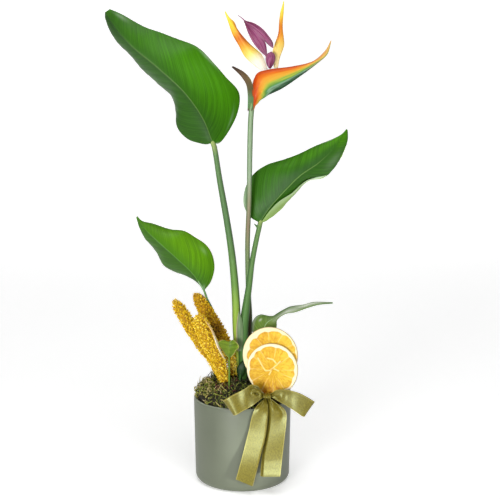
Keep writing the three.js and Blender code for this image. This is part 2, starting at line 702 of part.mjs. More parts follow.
const BOW = {
  ribbon_loop_left: ribbon(
    [[27, -57.5, 132], [20, -60, 140], [12, -63, 142], [-5, -70, 137], [-20, -75, 129.5], [-23, -74, 127.5],
      [-21, -71, 128], [-5, -66.5, 136], [12, -59, 141], [20, -56, 139], [27, -54.5, 131.5]],
    [[27, -57.5, 127], [18, -62, 121], [6, -68.5, 115.5], [-3, -75, 111.5], [-6, -77, 110], [-8, -76, 109.5],
      [-7, -73, 110], [-1, -69.5, 113], [7, -65.5, 117], [18, -58, 122], [27, -54.5, 127.5]],
    20,
  ),
  ribbon_loop_right: ribbon(
    [[37, -57.5, 132], [44, -60, 136], [55, -63, 138], [73, -67, 135], [90, -70, 125.5], [92.5, -69, 124],
      [91, -66, 125], [73, -61, 134], [55, -57, 137], [44, -55.5, 135], [37, -54.5, 131.5]],
    [[37, -57.5, 127], [50, -62, 121], [63, -68, 115], [75, -71.5, 108], [78, -72, 106], [80, -71, 106],
      [78, -68, 107.5], [66, -65.5, 114.5], [56, -62.5, 119], [48, -57, 122], [37, -54.5, 127.5]],
    20,
  ),
  ribbon_tail_left: ribbon(
    [[28, -59.1, 125.2], [18, -64, 117], [13, -69, 106], [9, -71, 88], [2, -72, 60], [-8, -73, 22]],
    [[31.5, -59.3, 125], [33.5, -65, 116], [33, -68, 103], [30, -70, 78], [24, -71, 55], [14, -72, 13]],
    12,
  ),
  ribbon_tail_right: ribbon(
    [[33, -59.3, 125], [35, -64.5, 117], [35.2, -67.5, 95], [33, -69.5, 78], [28, -70, 51], [26, -71, 26]],
    [[37, -59.1, 125.4], [49, -63, 118], [56, -64.5, 111], [57, -67, 103], [55, -68, 82], [49, -69, 28]],
    12,
  ),
};

// The short band that holds the bow, wound about the X axis in pleats.
function knot() {
  const { radii: [wide, deep, high], sides, pleats } = KNOT;
  const rings = pleats.map((share, place) =>
    Array.from({ length: sides }, (_, side) => {
      const angle = (2 * Math.PI * side) / sides;
      const x = wide * THREE.MathUtils.lerp(-1, 1, place / (pleats.length - 1));
      const [y, z] = [share * deep * Math.cos(angle), share * high * Math.sin(angle)];
      return vector(KNOT.centre).add(new THREE.Vector3(x, y, z));
    }),
  );
  return ringSolid(rings);
}

const bow = new THREE.Group();
for (const [name, geometry] of Object.entries(BOW)) bow.add(add(name, geometry, COLOURS.ribbon, 0.35));
bow.add(add('ribbon_knot', knot(), COLOURS.ribbon, 0.35));
bow.position.set(0, BOW_BACK, 0);
plant.add(bow);

// The stems stand in plain holes in the moss and the soil

const holes = [
  ...Object.values(STEMS).map((shape) => stalk(shape, HOLE_PLAY)),
  ...Object.values(HEADS).map((shape) => foxtail(shape, HOLE_PLAY)),
];
for (const name of ['soil', 'moss']) {
  const mesh = plant.getObjectByName(name);
  mesh.geometry = without(mesh.geometry, holes);
  mesh.geometry.computeVertexNormals();
}

export default plant;
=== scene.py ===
# %% [markdown]
# # A potted bird of paradise, dressed for giving
#
# The plant stands in a satin-glazed pot: six leaves on their stalks and one flower. Three golden foxtail
# heads, two dried orange slices and a satin bow dress it, and moss covers the soil.
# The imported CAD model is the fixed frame. Each of its pieces is rebuilt here in the same place with the
# detail that the real one shows. Shapes are written in millimetres, and the scene is in metres.
# %% Load the frame
import math

import bpy
import numpy as np
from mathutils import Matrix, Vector, noise


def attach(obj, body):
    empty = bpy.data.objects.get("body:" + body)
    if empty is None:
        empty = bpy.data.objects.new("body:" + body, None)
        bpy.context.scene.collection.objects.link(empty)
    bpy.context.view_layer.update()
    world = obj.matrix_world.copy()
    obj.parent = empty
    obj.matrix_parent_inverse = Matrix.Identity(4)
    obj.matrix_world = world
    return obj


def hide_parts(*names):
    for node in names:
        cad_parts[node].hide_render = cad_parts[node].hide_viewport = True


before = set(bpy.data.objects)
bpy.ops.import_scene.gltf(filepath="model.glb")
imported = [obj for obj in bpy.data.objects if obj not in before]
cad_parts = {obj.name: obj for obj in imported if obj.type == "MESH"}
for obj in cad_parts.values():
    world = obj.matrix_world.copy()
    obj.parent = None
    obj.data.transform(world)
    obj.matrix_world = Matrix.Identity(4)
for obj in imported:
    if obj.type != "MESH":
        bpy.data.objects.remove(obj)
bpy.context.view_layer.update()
print("CAD pieces:", len(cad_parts))

# %% [markdown]
# ## Helpers for shapes
#
# Leaves, petals, stalks and ribbon all follow smooth lines in space, so one helper draws such a line
# through a few points. Another takes Blender's grid primitive, a sheet of square faces with its own UV map,
# and moves its vertices onto rows of places: flat for a leaf, or rolled up for a stalk.
# %% Selecting and measuring
MM = 0.001


def deselect():
    for other in list(bpy.context.selected_objects):
        other.select_set(False)


def pick(piece):
    """Selects this piece alone, so that an operator acts on nothing else."""
    deselect()
    piece.select_set(True)
    bpy.context.view_layer.objects.active = piece


def count_triangles(piece):
    return sum(len(face.vertices) - 2 for face in piece.data.polygons)


deselect()
print("selected:", len(bpy.context.selected_objects))


# %% A smooth line through points
STEPS_BETWEEN = 24


def course(points):
    """A centripetal curve through points in millimetres, read by the share of its length."""
    given = np.array(points, float)
    given = np.vstack([2 * given[0] - given[1], given, 2 * given[-1] - given[-2]])
    share = np.linspace(0, 1, STEPS_BETWEEN, endpoint=False)[:, None]
    line = []
    for a, b, c, d in zip(given, given[1:], given[2:], given[3:]):
        before, here, after = (max(np.linalg.norm(q - p), 1e-6) ** 0.5 for p, q in ((a, b), (b, c), (c, d)))
        leave = ((b - a) / before - (c - a) / (before + here) + (c - b) / here) * here
        arrive = ((c - b) / here - (d - b) / (here + after) + (d - c) / after) * here
        line.append(
            b + leave * share + (3 * (c - b) - 2 * leave - arrive) * share**2
            + (2 * (b - c) + leave + arrive) * share**3
        )
    line = np.vstack([*line, given[-2]])
    steps = np.concatenate([[0], np.cumsum(np.linalg.norm(np.diff(line, axis=0), axis=1))])
    return lambda t: np.stack([np.interp(t, steps / steps[-1], line[:, k]) for k in range(3)], -1)


def read_list(values, t):
    """The value of an evenly spaced list at t, from 0 to 1."""
    return np.interp(t, np.linspace(0, 1, len(values)), values)


def bell(value):
    """1 where the value is 0, falling to nearly 0 at 2 on both sides."""
    return np.exp(-(value**2))


print("half way:", course([[0, 0, 0], [10, 0, 5], [20, 0, 0]])(0.5))


# %% A sheet of faces on rows of places
def vertices_of(piece):
    """The places of a piece's vertices, a row each."""
    flat = np.empty(len(piece.data.vertices) * 3)
    piece.data.vertices.foreach_get("co", flat)
    return flat.reshape(-1, 3)


def fact_on(piece, name):
    """A fact's number at each vertex, as it was written there."""
    values = np.empty(len(piece.data.vertices), dtype=np.float32)
    piece.data.attributes[name].data.foreach_get("value", values)
    return values


def sheet_of(name, places, rolled=False, **facts):
    """A grid primitive moved onto rows of places in millimetres, each with its facts for a material.

    If rolled, it closes into a tube with capped ends.
    """
    rows, columns = places.shape[0] - 1, places.shape[1] - 1
    deselect()
    bpy.ops.mesh.primitive_grid_add(x_subdivisions=columns, y_subdivisions=rows, size=2, calc_uvs=True)
    piece = bpy.context.object
    piece.name = piece.data.name = name
    flat = vertices_of(piece)
    places_of = (
        np.rint((flat[:, 1] + 1) / 2 * rows).astype(int),
        np.rint((flat[:, 0] + 1) / 2 * columns).astype(int),
    )
    piece.data.vertices.foreach_set("co", (places[places_of] * MM).ravel())
    for fact_name, values in facts.items():
        attribute = piece.data.attributes.new(fact_name, "FLOAT", "POINT")
        attribute.data.foreach_set("value", np.ascontiguousarray(values[places_of], dtype=np.float32))
    piece.data.update()
    if rolled:
        pick(piece)
        bpy.ops.object.mode_set(mode="EDIT")
        bpy.ops.mesh.select_all(action="SELECT")
        bpy.ops.mesh.remove_doubles(threshold=2e-6)
        bpy.ops.mesh.select_all(action="SELECT")
        bpy.ops.mesh.fill_holes(sides=0)
        bpy.ops.mesh.select_all(action="SELECT")
        bpy.ops.mesh.normals_make_consistent(inside=False)
        bpy.ops.object.mode_set(mode="OBJECT")
    return piece


def normals_of(places):
    """The unit normal at every place of a sheet."""
    along, across = np.gradient(places, axis=0), np.gradient(places, axis=1)
    normal = np.cross(across, along)
    return normal / np.maximum(np.linalg.norm(normal, axis=2, keepdims=True), 1e-9)


def thicken(piece, thickness, thin_share=1.0, weights=None):
    """Gives a sheet its thickness in millimetres. Weights, 0 to 1, lead from the thin share of it to all."""
    solid = piece.modifiers.new("thickness", "SOLIDIFY")
    solid.thickness = thickness * MM
    solid.offset = 0
    solid.use_even_offset = False
    if weights is not None:
        group = piece.vertex_groups.new(name="thickness")
        for place, weight in enumerate(weights):
            group.add([place], float(weight), "REPLACE")
        solid.vertex_group = group.name
        solid.thickness_vertex_group = thin_share
    pick(piece)
    bpy.ops.object.modifier_apply(modifier=solid.name)
    piece.vertex_groups.clear()
    bpy.ops.object.mode_set(mode="EDIT")
    bpy.ops.mesh.select_all(action="SELECT")
    bpy.ops.mesh.normals_make_consistent(inside=False)
    bpy.ops.object.mode_set(mode="OBJECT")


# %% Finishing a piece
def smooth(piece, angle=50):
    pick(piece)
    bpy.ops.object.shade_smooth_by_angle(angle=math.radians(angle))


finished = []


def finish_piece(piece, finish, slot_name, *stands_for):
    """Gives the piece its material and body, and hides the CAD nodes that it stands for. The slot name is not
    used.
    """
    piece.data.materials.clear()
    piece.data.materials.append(finish)
    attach(piece, "root")
    if stands_for:
        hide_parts(*stands_for)
    finished.append(piece)
    print(f"{piece.name}: {count_triangles(piece)} triangles")


# %% [markdown]
# ## Helpers for materials
#
# A colour is written as the sRGB hex value that a picture editor shows, and one function turns it linear.
# One small function adds a node with its settings and links.
# %% Colours and nodes
def colour(hex_value):
    """An sRGB hex value as linear red, green, blue and alpha."""
    shares = [int(hex_value[k : k + 2], 16) / 255 for k in (1, 3, 5)]
    return [s / 12.92 if s <= 0.04045 else ((s + 0.055) / 1.055) ** 2.4 for s in shares] + [1.0]


def add_node(tree, kind, sockets=None, stops=None, **settings):
    """Adds a node. A socket takes a number, a colour or another node's output; stops fill a colour ramp."""
    node = tree.nodes.new("ShaderNode" + kind)
    for name, value in settings.items():
        setattr(node, name, value)
    for socket, value in (sockets or {}).items():
        if isinstance(value, bpy.types.NodeSocket):
            tree.links.new(value, node.inputs[socket])
        else:
            node.inputs[socket].default_value = value
    for k, (place, hex_value) in enumerate(stops or []):
        bar = node.color_ramp.elements
        stop = bar[k] if k < 2 else bar.new(place)
        stop.position = place
        stop.color = colour(hex_value)
    return node


def new_material(name, **sockets):
    """A material with its shader, whose constant values are set on the shader's own sockets."""
    material = bpy.data.materials.new(name)
    material.use_nodes = True
    tree = material.node_tree
    shader = tree.nodes["Principled BSDF"]
    for socket, value in sockets.items():
        shader.inputs[socket.replace("_", " ")].default_value = value
    return material, tree, shader


print("sage, linear:", [round(share, 3) for share in colour("#8b9382")])

# %% [markdown]
# ## Camera, light and floor
#
# The photo was taken with a long lens from a little above the pot's rim, so the plant hardly widens
# towards the top. The light is a bright white studio. A large softbox hangs in front above the plant. A
# smaller one stands low in front on the left and gives the satin and the glaze their highlights. A narrow
# spot from the right lights the pot beside the ribbon, and the tail's shadow falls there. The floor turns
# up into the wall behind, so that no line shows where they meet. A studio lights that paper with lamps of
# its own, which is the small emission in its material, from 0.2 m behind the pot.
# %% Camera
bpy.ops.object.camera_add(location=(0.0102, -1.370, 0.520), rotation=(math.radians(81.3), 0, 0))
camera = bpy.context.object
camera.data.lens = 76
camera.data.sensor_width = 36
bpy.context.scene.camera = camera
print("camera at", [round(c, 3) for c in camera.location])

# %% Floor and wall
FLOOR = {"half": 4.0, "bend": 1.2, "height": 5.0}
bpy.ops.object.select_all(action="DESELECT")
bpy.ops.mesh.primitive_plane_add(size=2 * FLOOR["half"], location=(0, 0, 0))
floor = bpy.context.object
floor.name = "studio_floor"
bpy.ops.object.transform_apply(location=True)


def choose(piece, kind, test):
    """Selects the faces or edges that pass a test, for the next operator in edit mode."""
    bpy.ops.object.mode_set(mode="EDIT")
    bpy.ops.mesh.select_all(action="DESELECT")
    bpy.ops.mesh.select_mode(type=kind)
    bpy.ops.object.mode_set(mode="OBJECT")
    mesh = piece.data
    for part in mesh.polygons if kind == "FACE" else mesh.edges:
        part.select = test(part, [mesh.vertices[v].co for v in part.vertices])
    bpy.ops.object.mode_set(mode="EDIT")


back_line = FLOOR["half"] - 0.01
choose(floor, "EDGE", lambda edge, ends: all(end.y > back_line for end in ends))
bpy.ops.mesh.extrude_region_move(TRANSFORM_OT_translate={"value": (0, 0, FLOOR["height"])})
choose(floor, "EDGE", lambda edge, ends: all(end.y > back_line and end.z < 0.01 for end in ends))
bpy.ops.mesh.bevel(offset=FLOOR["bend"], segments=16, affect="EDGES")
bpy.ops.object.mode_set(mode="OBJECT")
bpy.ops.object.shade_smooth()
paper, tree, shader = new_material("matte_studio_paper", Roughness=0.9, Emission_Strength=0.6)
grain = add_node(tree, "TexNoise", {"Scale": 3.0, "Detail": 2.0})
tint = add_node(tree, "ValToRGB", {"Fac": grain.outputs["Fac"]}, stops=[(0, "#f4f4f4"), (1, "#f6f6f6")])
tree.links.new(tint.outputs["Color"], shader.inputs["Base Color"])
place = add_node(tree, "SeparateXYZ", {"Vector": add_node(tree, "TexCoord").outputs["Object"]})
behind = add_node(tree, "MapRange", {"Value": place.outputs["Y"], 1: 0.2, 2: 2.4, 3: 0.0, 4: 1.0})
glow = add_node(tree, "ValToRGB", {"Fac": behind.outputs[0]}, stops=[(0, "#d2d2d2"), (1, "#ffffff")])
tree.links.new(glow.outputs["Color"], shader.inputs["Emission Color"])
floor.data.materials.append(paper)
print("floor faces:", len(floor.data.polygons))

# %% Lamps
LAMPS = {
    "leaf_softbox": {"kind": "AREA", "place": (0.1, -0.9, 2.1), "size": 1.2, "power": 24, "aim": (0, 0, 0.3)},
    "pot_softbox": {"kind": "AREA", "place": (-0.8, -2.0, 0.35), "size": 0.6, "power": 34,
                    "aim": (0, 0, 0.2)},
    "tail_spot": {"kind": "SPOT", "place": (1.65, -1.24, 0.1), "size": 0.05, "power": 330,
                  "aim": (-0.035, -0.06, 0.06), "cone": 3.9},
}
for name, lamp in LAMPS.items():
    bpy.ops.object.light_add(type=lamp["kind"], location=lamp["place"])
    light = bpy.context.object
    light.name = name
    light.data.energy = lamp["power"]
    if lamp["kind"] == "AREA":
        light.data.shape = "SQUARE"
        light.data.size = lamp["size"]
    else:
        light.data.shadow_soft_size = lamp["size"]
        light.data.spot_size = math.radians(lamp["cone"])
        light.data.spot_blend = 1.0
    light.rotation_euler = (Vector(lamp["aim"]) - Vector(lamp["place"])).to_track_quat("-Z", "Y").to_euler()
world = bpy.data.worlds.new("white_studio")
bpy.context.scene.world = world
world.use_nodes = True
world.node_tree.nodes["Background"].inputs["Color"].default_value = (1, 1, 1, 1)
world.node_tree.nodes["Background"].inputs["Strength"].default_value = 0.15
bpy.context.scene.view_settings.view_transform = "Standard"
print("lamps:", len(LAMPS))

# %% [markdown]
# ## The pot
#
# The pot is slip-cast stoneware with a satin sage-grey glaze: straight sides, a rounded foot, a thin rim.
# A cylinder gives the body, an inset and an extrusion sink its inside, and bevels round the foot and rim.
# %% Pot body
POT = {"height": 113.5, "top": 65, "foot": 63, "wall": 4, "foot_round": 9, "rim_round": 1.9, "sunk": 30}
bpy.ops.object.select_all(action="DESELECT")
bpy.ops.mesh.primitive_cylinder_add(
    vertices=160, radius=POT["top"] * MM, depth=POT["height"] * MM, location=(0, 0, POT["height"] * MM / 2)
)
pot = bpy.context.object
pot.name = "glazed_pot"
bpy.ops.object.transform_apply(location=True)
choose(pot, "EDGE", lambda edge, ends: all(end.z < 1e-4 for end in ends))
narrower = POT["foot"] / POT["top"]
bpy.ops.transform.resize(value=(narrower, narrower, 1), center_override=(0, 0, 0))
choose(pot, "FACE", lambda face, ends: face.normal.z > 0.9)
bpy.ops.mesh.inset(thickness=POT["wall"] * MM)
bpy.ops.mesh.extrude_region_move(TRANSFORM_OT_translate={"value": (0, 0, -POT["sunk"] * MM)})
choose(pot, "EDGE", lambda edge, ends: all(end.z < 1e-4 for end in ends))
bpy.ops.mesh.bevel(offset=POT["foot_round"] * MM, segments=9, affect="EDGES", clamp_overlap=False)
choose(pot, "EDGE", lambda edge, ends: all(end.z > POT["height"] * MM - 1e-5 for end in ends))
bpy.ops.mesh.bevel(offset=POT["rim_round"] * MM, segments=5, affect="EDGES", clamp_overlap=False)
bpy.ops.object.mode_set(mode="OBJECT")
smooth(pot, 40)
print("pot faces:", len(pot.data.polygons))

# %% [markdown]
# Satin glaze scatters the light softly, so the pot shows one broad highlight. The glaze pools a little,
# which the eye sees as slow changes of tone. A paler band over the rim is a painted highlight. It has a
# fine orange-peel skin of about 1 mm.
# %% Satin glaze
glaze, tree, shader = new_material("satin_glazed_stoneware", Roughness=0.48, IOR=1.5)
where = add_node(tree, "TexCoord").outputs["Object"]
pooling = add_node(tree, "TexNoise", {"Vector": where, "Scale": 14.0, "Detail": 3.0})
tone = add_node(
    tree, "ValToRGB", {"Fac": pooling.outputs["Fac"]}, stops=[(0.3, "#5a604f"), (0.7, "#646a58")]
)
height = add_node(tree, "SeparateXYZ", {"Vector": where})
# A paler band of glaze over the top of the rim is a painted highlight.
painted_rim_highlight = add_node(tree, "MapRange", {"Value": height.outputs["Z"], 1: 0.1122, 2: 0.1132, 3: 0.0, 4: 0.85})
rimmed = add_node(tree, "Mix", {0: painted_rim_highlight.outputs[0], 6: tone.outputs["Color"], 7: colour("#8d9484")},
                  data_type="RGBA")
tree.links.new(rimmed.outputs[2], shader.inputs["Base Color"])
skin = add_node(tree, "TexNoise", {"Vector": where, "Scale": 900.0, "Detail": 1.0})
skin_bump = add_node(tree, "Bump", {"Height": skin.outputs["Fac"], "Strength": 0.06, "Distance": 0.0002})
tree.links.new(skin_bump.outputs["Normal"], shader.inputs["Normal"])
finish_piece(pot, glaze, "pot", "pot")

# %% [markdown]
# ## Soil and moss
#
# The soil can't be seen, but it keeps its CAD node with the look of dark potting mix. Over it lies dried
# moss: a rough dark mound, and on it thousands of short, curled strands in green, straw and brown.
# Each strand is a three-sided thread of a few lengths, drawn once by a rule with a fixed seed.
# %% Potting mix
potting_mix, tree, shader = new_material("potting_mix", Roughness=0.95)
where = add_node(tree, "TexCoord").outputs["Object"]
crumbs = add_node(tree, "TexVoronoi", {"Vector": where, "Scale": 320.0})
soil_tone = add_node(
    tree, "ValToRGB", {"Fac": crumbs.outputs["Distance"]}, stops=[(0.1, "#1a130e"), (0.8, "#4a3a2c")]
)
tree.links.new(soil_tone.outputs["Color"], shader.inputs["Base Color"])
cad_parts["soil"].data.materials.clear()
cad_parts["soil"].data.materials.append(potting_mix)

# %% Moss mound
MOUND = {"voxel": 0.0016, "rough_above": 0.104, "lumps": 160, "rough": 0.0012}
moss_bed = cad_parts["moss"].copy()
moss_bed.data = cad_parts["moss"].data.copy()
for key in list(moss_bed.keys()):
    if key.startswith("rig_"):
        del moss_bed[key]
bpy.context.scene.collection.objects.link(moss_bed)
moss_bed.name = "moss_bed"
moss_bed.parent = None
pick(moss_bed)
bpy.ops.object.mode_set(mode="EDIT")
bpy.ops.mesh.select_all(action="SELECT")
bpy.ops.mesh.remove_doubles(threshold=1e-6)
bpy.ops.object.mode_set(mode="OBJECT")
remesh = moss_bed.modifiers.new("even faces", "REMESH")
remesh.mode = "VOXEL"
remesh.voxel_size = MOUND["voxel"]
bpy.ops.object.modifier_apply(modifier=remesh.name)
for vertex in moss_bed.data.vertices:
    if vertex.co.z > MOUND["rough_above"]:
        rough = noise.fractal(vertex.co * MOUND["lumps"], 0.9, 2.0, 3)
        vertex.co += vertex.normal * MOUND["rough"] * (rough - 0.4)
smooth(moss_bed, 80)
print("moss bed faces:", len(moss_bed.data.polygons))

# %% Moss finish
moss_look, tree, shader = new_material("dried_sheet_moss", Roughness=0.9)
where = add_node(tree, "TexCoord").outputs["Object"]
patches = add_node(tree, "TexNoise", {"Vector": where, "Scale": 150.0, "Detail": 5.0, "Roughness": 0.7})
bed_tone = add_node(
    tree, "ValToRGB", {"Fac": patches.outputs["Fac"]},
    stops=[(0.3, "#100d07"), (0.7, "#3b3617"), (0.52, "#211d0c")],
)
tree.links.new(bed_tone.outputs["Color"], shader.inputs["Base Color"])
finish_piece(moss_bed, moss_look, "moss", "moss")

# %% [markdown]
# The bed's surface tells where the strands start: each grows from a place on the mound, leaves it in a
# random direction, curls, and bends back. A strand knows its own tone, from 0 to 1, which the material
# turns into brown, olive or straw, and near the grain stems a few are reddish. The tone also falls towards
# the right of the pot, which is a painted shade over that side of the bed.
# %% A bundle of threads
def toned_piece(name, points, faces, tones):
    """A piece of many like parts, from points in metres. A part's tone goes to all of its vertices."""
    places = points.reshape(-1, 3)
    mesh = bpy.data.meshes.new(name)
    mesh.from_pydata(places.tolist(), [], faces)
    attribute = mesh.attributes.new("tone", "FLOAT", "POINT")
    attribute.data.foreach_set("value", np.repeat(tones, len(places) // len(tones)).astype(np.float32))
    mesh.polygons.foreach_set("use_smooth", [True] * len(mesh.polygons))
    piece = bpy.data.objects.new(name, mesh)
    bpy.context.scene.collection.objects.link(piece)
    return piece


def thread_bundle(name, lines, widths, tones, sides=3):
    """Many thin tapering tubes in one mesh: lines is an array of (thread, point, xyz) in metres."""
    threads, points = lines.shape[:2]
    along = np.gradient(lines, axis=1)
    along /= np.maximum(np.linalg.norm(along, axis=2, keepdims=True), 1e-9)
    side = np.cross(along, np.array([0.31, 0.52, 0.79]))
    side /= np.maximum(np.linalg.norm(side, axis=2, keepdims=True), 1e-9)
    other = np.cross(along, side)
    taper = np.sin(np.linspace(0.25, math.pi - 0.12, points)) ** 0.6
    angles = 2 * math.pi * np.arange(sides) / sides
    radius = (widths[:, None] / 2 * taper)[:, :, None, None]
    rings = lines[:, :, None] + radius * (
        np.cos(angles)[:, None] * side[:, :, None] + np.sin(angles)[:, None] * other[:, :, None]
    )
    step = np.arange(points - 1)[:, None] * sides
    turn = np.arange(sides)[None]
    quads = np.stack(
        [step + turn, step + (turn + 1) % sides, step + sides + (turn + 1) % sides, step + sides + turn], -1
    ).reshape(-1, 4)
    starts = np.arange(threads)[:, None, None] * points * sides
    faces = (quads[None] + starts).reshape(-1, 4).tolist()
    ends = np.array([list(range(sides))[::-1], list(range((points - 1) * sides, points * sides))])
    faces += (ends[None] + starts).reshape(-1, sides).tolist()
    return toned_piece(name, rings, faces, tones)


# %% Moss strands
MOSS = {
    "strands": 3300, "points": 7, "seed": 5, "clump": 85, "root": 0.0006, "length": (0.008, 0.024),
    "width": (0.0008, 0.0018), "height": 0.006, "rim": 0.1145, "edge": 0.0605, "reach": 0.0645,
    "heads": (-0.02, -0.026), "red_round_heads": 0.015,
}
strands = MOSS["strands"]
random = np.random.default_rng(MOSS["seed"])
bed = np.array([vertex.co for vertex in moss_bed.data.vertices])
bed_normal = np.array([vertex.normal for vertex in moss_bed.data.vertices])
faces_up = bed_normal[:, 2] > 0.15
bed, bed_normal = bed[faces_up], bed_normal[faces_up]
clump = np.array([noise.fractal(Vector(place) * MOSS["clump"], 0.8, 2.0, 2) for place in bed])
likely = np.exp(2.2 * clump)
start = random.choice(len(bed), strands, p=likely / likely.sum())
roots = bed[start] - bed_normal[start] * MOSS["root"]
heading = random.normal(size=(strands, 3))
heading += bed_normal[start] * 0.35
heading /= np.linalg.norm(heading, axis=1, keepdims=True)
curl = random.normal(size=(strands, 3)) * 0.4
length = random.uniform(*MOSS["length"], strands)
lines = np.empty((strands, MOSS["points"], 3))
place = roots.copy()
for k in range(MOSS["points"]):
    lines[:, k] = place
    place = place + heading * (length / MOSS["points"])[:, None]
    heading = heading + curl * 0.75 + random.normal(size=heading.shape) * 0.3
    too_high = np.linalg.norm(place - bed[start], axis=1)[:, None] > MOSS["height"]
    heading = np.where(too_high, heading - bed_normal[start] * 0.8, heading)
    heading /= np.linalg.norm(heading, axis=1, keepdims=True)
reach = np.linalg.norm(lines[:, :, :2], axis=2)
limit = np.where(lines[:, :, 2] < MOSS["rim"], MOSS["edge"], MOSS["reach"])
lines[:, :, :2] *= np.minimum(1, limit / np.maximum(reach, 1e-6))[:, :, None]
# The tone falls towards the right of the pot: a painted shade.
tones = random.normal(0.42, 0.24, strands) + 0.3 * clump[start] - 8 * (roots[:, 0] + 0.035)
tones = np.clip(tones, 0, 0.94)
near_heads = np.linalg.norm(roots[:, :2] - np.array(MOSS["heads"]), axis=1) < MOSS["red_round_heads"]
tones[near_heads & (random.random(strands) < 0.35)] = 1.0
moss_strands = thread_bundle("moss_strands", lines, random.uniform(*MOSS["width"], strands), tones)
strand_look, tree, shader = new_material("dried_moss_strand", Roughness=0.75)
tone = add_node(tree, "Attribute", attribute_name="tone")
strand_tone = add_node(
    tree, "ValToRGB", {"Fac": tone.outputs["Fac"]},
    stops=[(0.08, "#211a0b"), (0.75, "#ae9f58"), (0.3, "#454b15"), (0.52, "#7d8c2c"), (0.93, "#d0c18a"),
           (0.97, "#68382c")],
)
tree.links.new(strand_tone.outputs["Color"], shader.inputs["Base Color"])
finish_piece(moss_strands, strand_look, "moss")

# %% [markdown]
# ## Stalks and the flower's stem
#
# A leaf stalk is thick and waxy, with a channel down one side, and it widens downwards into its sheath. It
# is made of rings round a line. Each ring's radius comes from a short list, and the channel is a place on
# the ring where the radius is smaller.
# %% A tube round a line
def tube(path, radii, rows, sides, groove=0.0, groove_angle=0.0, ribs=0.0, round_top=0.0):
    """Rings round a path in millimetres, and for each place how far along, right and front it is."""
    t = np.linspace(0, 1, rows + 1) ** (1.25 if round_top else 1)
    centre = course(path)(t)
    down = np.concatenate([[0], np.cumsum(np.linalg.norm(np.diff(centre, axis=0), axis=1))])
    along = np.gradient(centre, axis=0)
    along /= np.linalg.norm(along, axis=1, keepdims=True)
    right = np.array([1.0, 0, 0]) - along * along[:, :1]
    right /= np.linalg.norm(right, axis=1, keepdims=True)
    back = np.cross(along, right)
    angle = np.linspace(0, 2 * math.pi, sides + 1)
    off = np.arctan2(np.sin(angle - groove_angle), np.cos(angle - groove_angle))
    radius = read_list(radii, t)[:, None] * (
        1 - groove * bell(off / 0.5) + ribs * np.cos(14 * angle)
    )
    if round_top:
        dome = np.sqrt(1 - (1 - np.clip(down / round_top, 0, 1)) ** 2)
        radius = radius * (0.1 + 0.9 * dome)[:, None]
    places = centre[:, None] + radius[..., None] * (
        np.cos(angle)[:, None] * right[:, None] + np.sin(angle)[:, None] * back[:, None]
    )
    spread = np.ones((rows + 1, 1))
    facts = {"along": t[:, None] * np.ones(sides + 1), "right": spread * np.cos(angle),
             "front": spread * np.sin(angle)}
    return places, facts


# %% [markdown]
# The skin of a stalk is waxy and satin. Fine fibres run its whole length as slightly lighter and darker
# streaks, under 1 mm wide. Its colour changes from the top down to the foot, and a painted shade darkens
# its left and right flanks, where the skin turns away.
# %% Waxy stalk skin
def stalk_finish(name, lengthwise, flank_shade, from_front=0.35, streak=0.35):
    """A ramp of colours from the top to the foot, a painted shade on the left and right flanks, and streaks.
    """
    material, tree, shader = new_material(name, Roughness=0.42, IOR=1.45, Specular_IOR_Level=0.18)
    fact = {key: add_node(tree, "Attribute", attribute_name=key).outputs["Fac"]
            for key in ("along", "right", "front")}
    where = add_node(tree, "CombineXYZ", {"X": fact["right"], "Y": fact["front"], "Z": fact["along"]})
    stretched = add_node(tree, "Mapping", {"Vector": where.outputs["Vector"], "Scale": (6.0, 6.0, 2.5)})
    fibres = add_node(tree, "TexNoise", {"Vector": stretched.outputs["Vector"], "Scale": 1.3, "Detail": 4.0})
    base = add_node(tree, "ValToRGB", {"Fac": fact["along"]}, stops=lengthwise)
    # The left and right flanks get a painted shade.
    flank_share = add_node(tree, "Math", {0: fact["right"], 1: fact["right"]}, operation="MULTIPLY")
    flank_place = add_node(
        tree, "MapRange",
        {"Value": flank_share.outputs[0], 1: from_front, 2: from_front + 0.65, 3: 0.0, 4: 0.75}
    )
    shaded_flanks = add_node(tree, "Mix", {0: flank_place.outputs[0], 6: base.outputs["Color"], 7: colour(flank_shade)},
                      data_type="RGBA")
    fibre_tone = add_node(tree, "ValToRGB", {"Fac": fibres.outputs["Fac"]},
                          stops=[(0.35, "#8a8a8a"), (0.65, "#ffffff")])
    streaked = add_node(tree, "Mix", {0: streak, 6: shaded_flanks.outputs[2], 7: fibre_tone.outputs["Color"]},
                        data_type="RGBA", blend_type="MULTIPLY")
    tree.links.new(streaked.outputs[2], shader.inputs["Base Color"])
    relief = add_node(tree, "Bump", {"Height": fibres.outputs["Fac"], "Strength": 0.25, "Distance": 0.0004})
    tree.links.new(relief.outputs["Normal"], shader.inputs["Normal"])
    return material


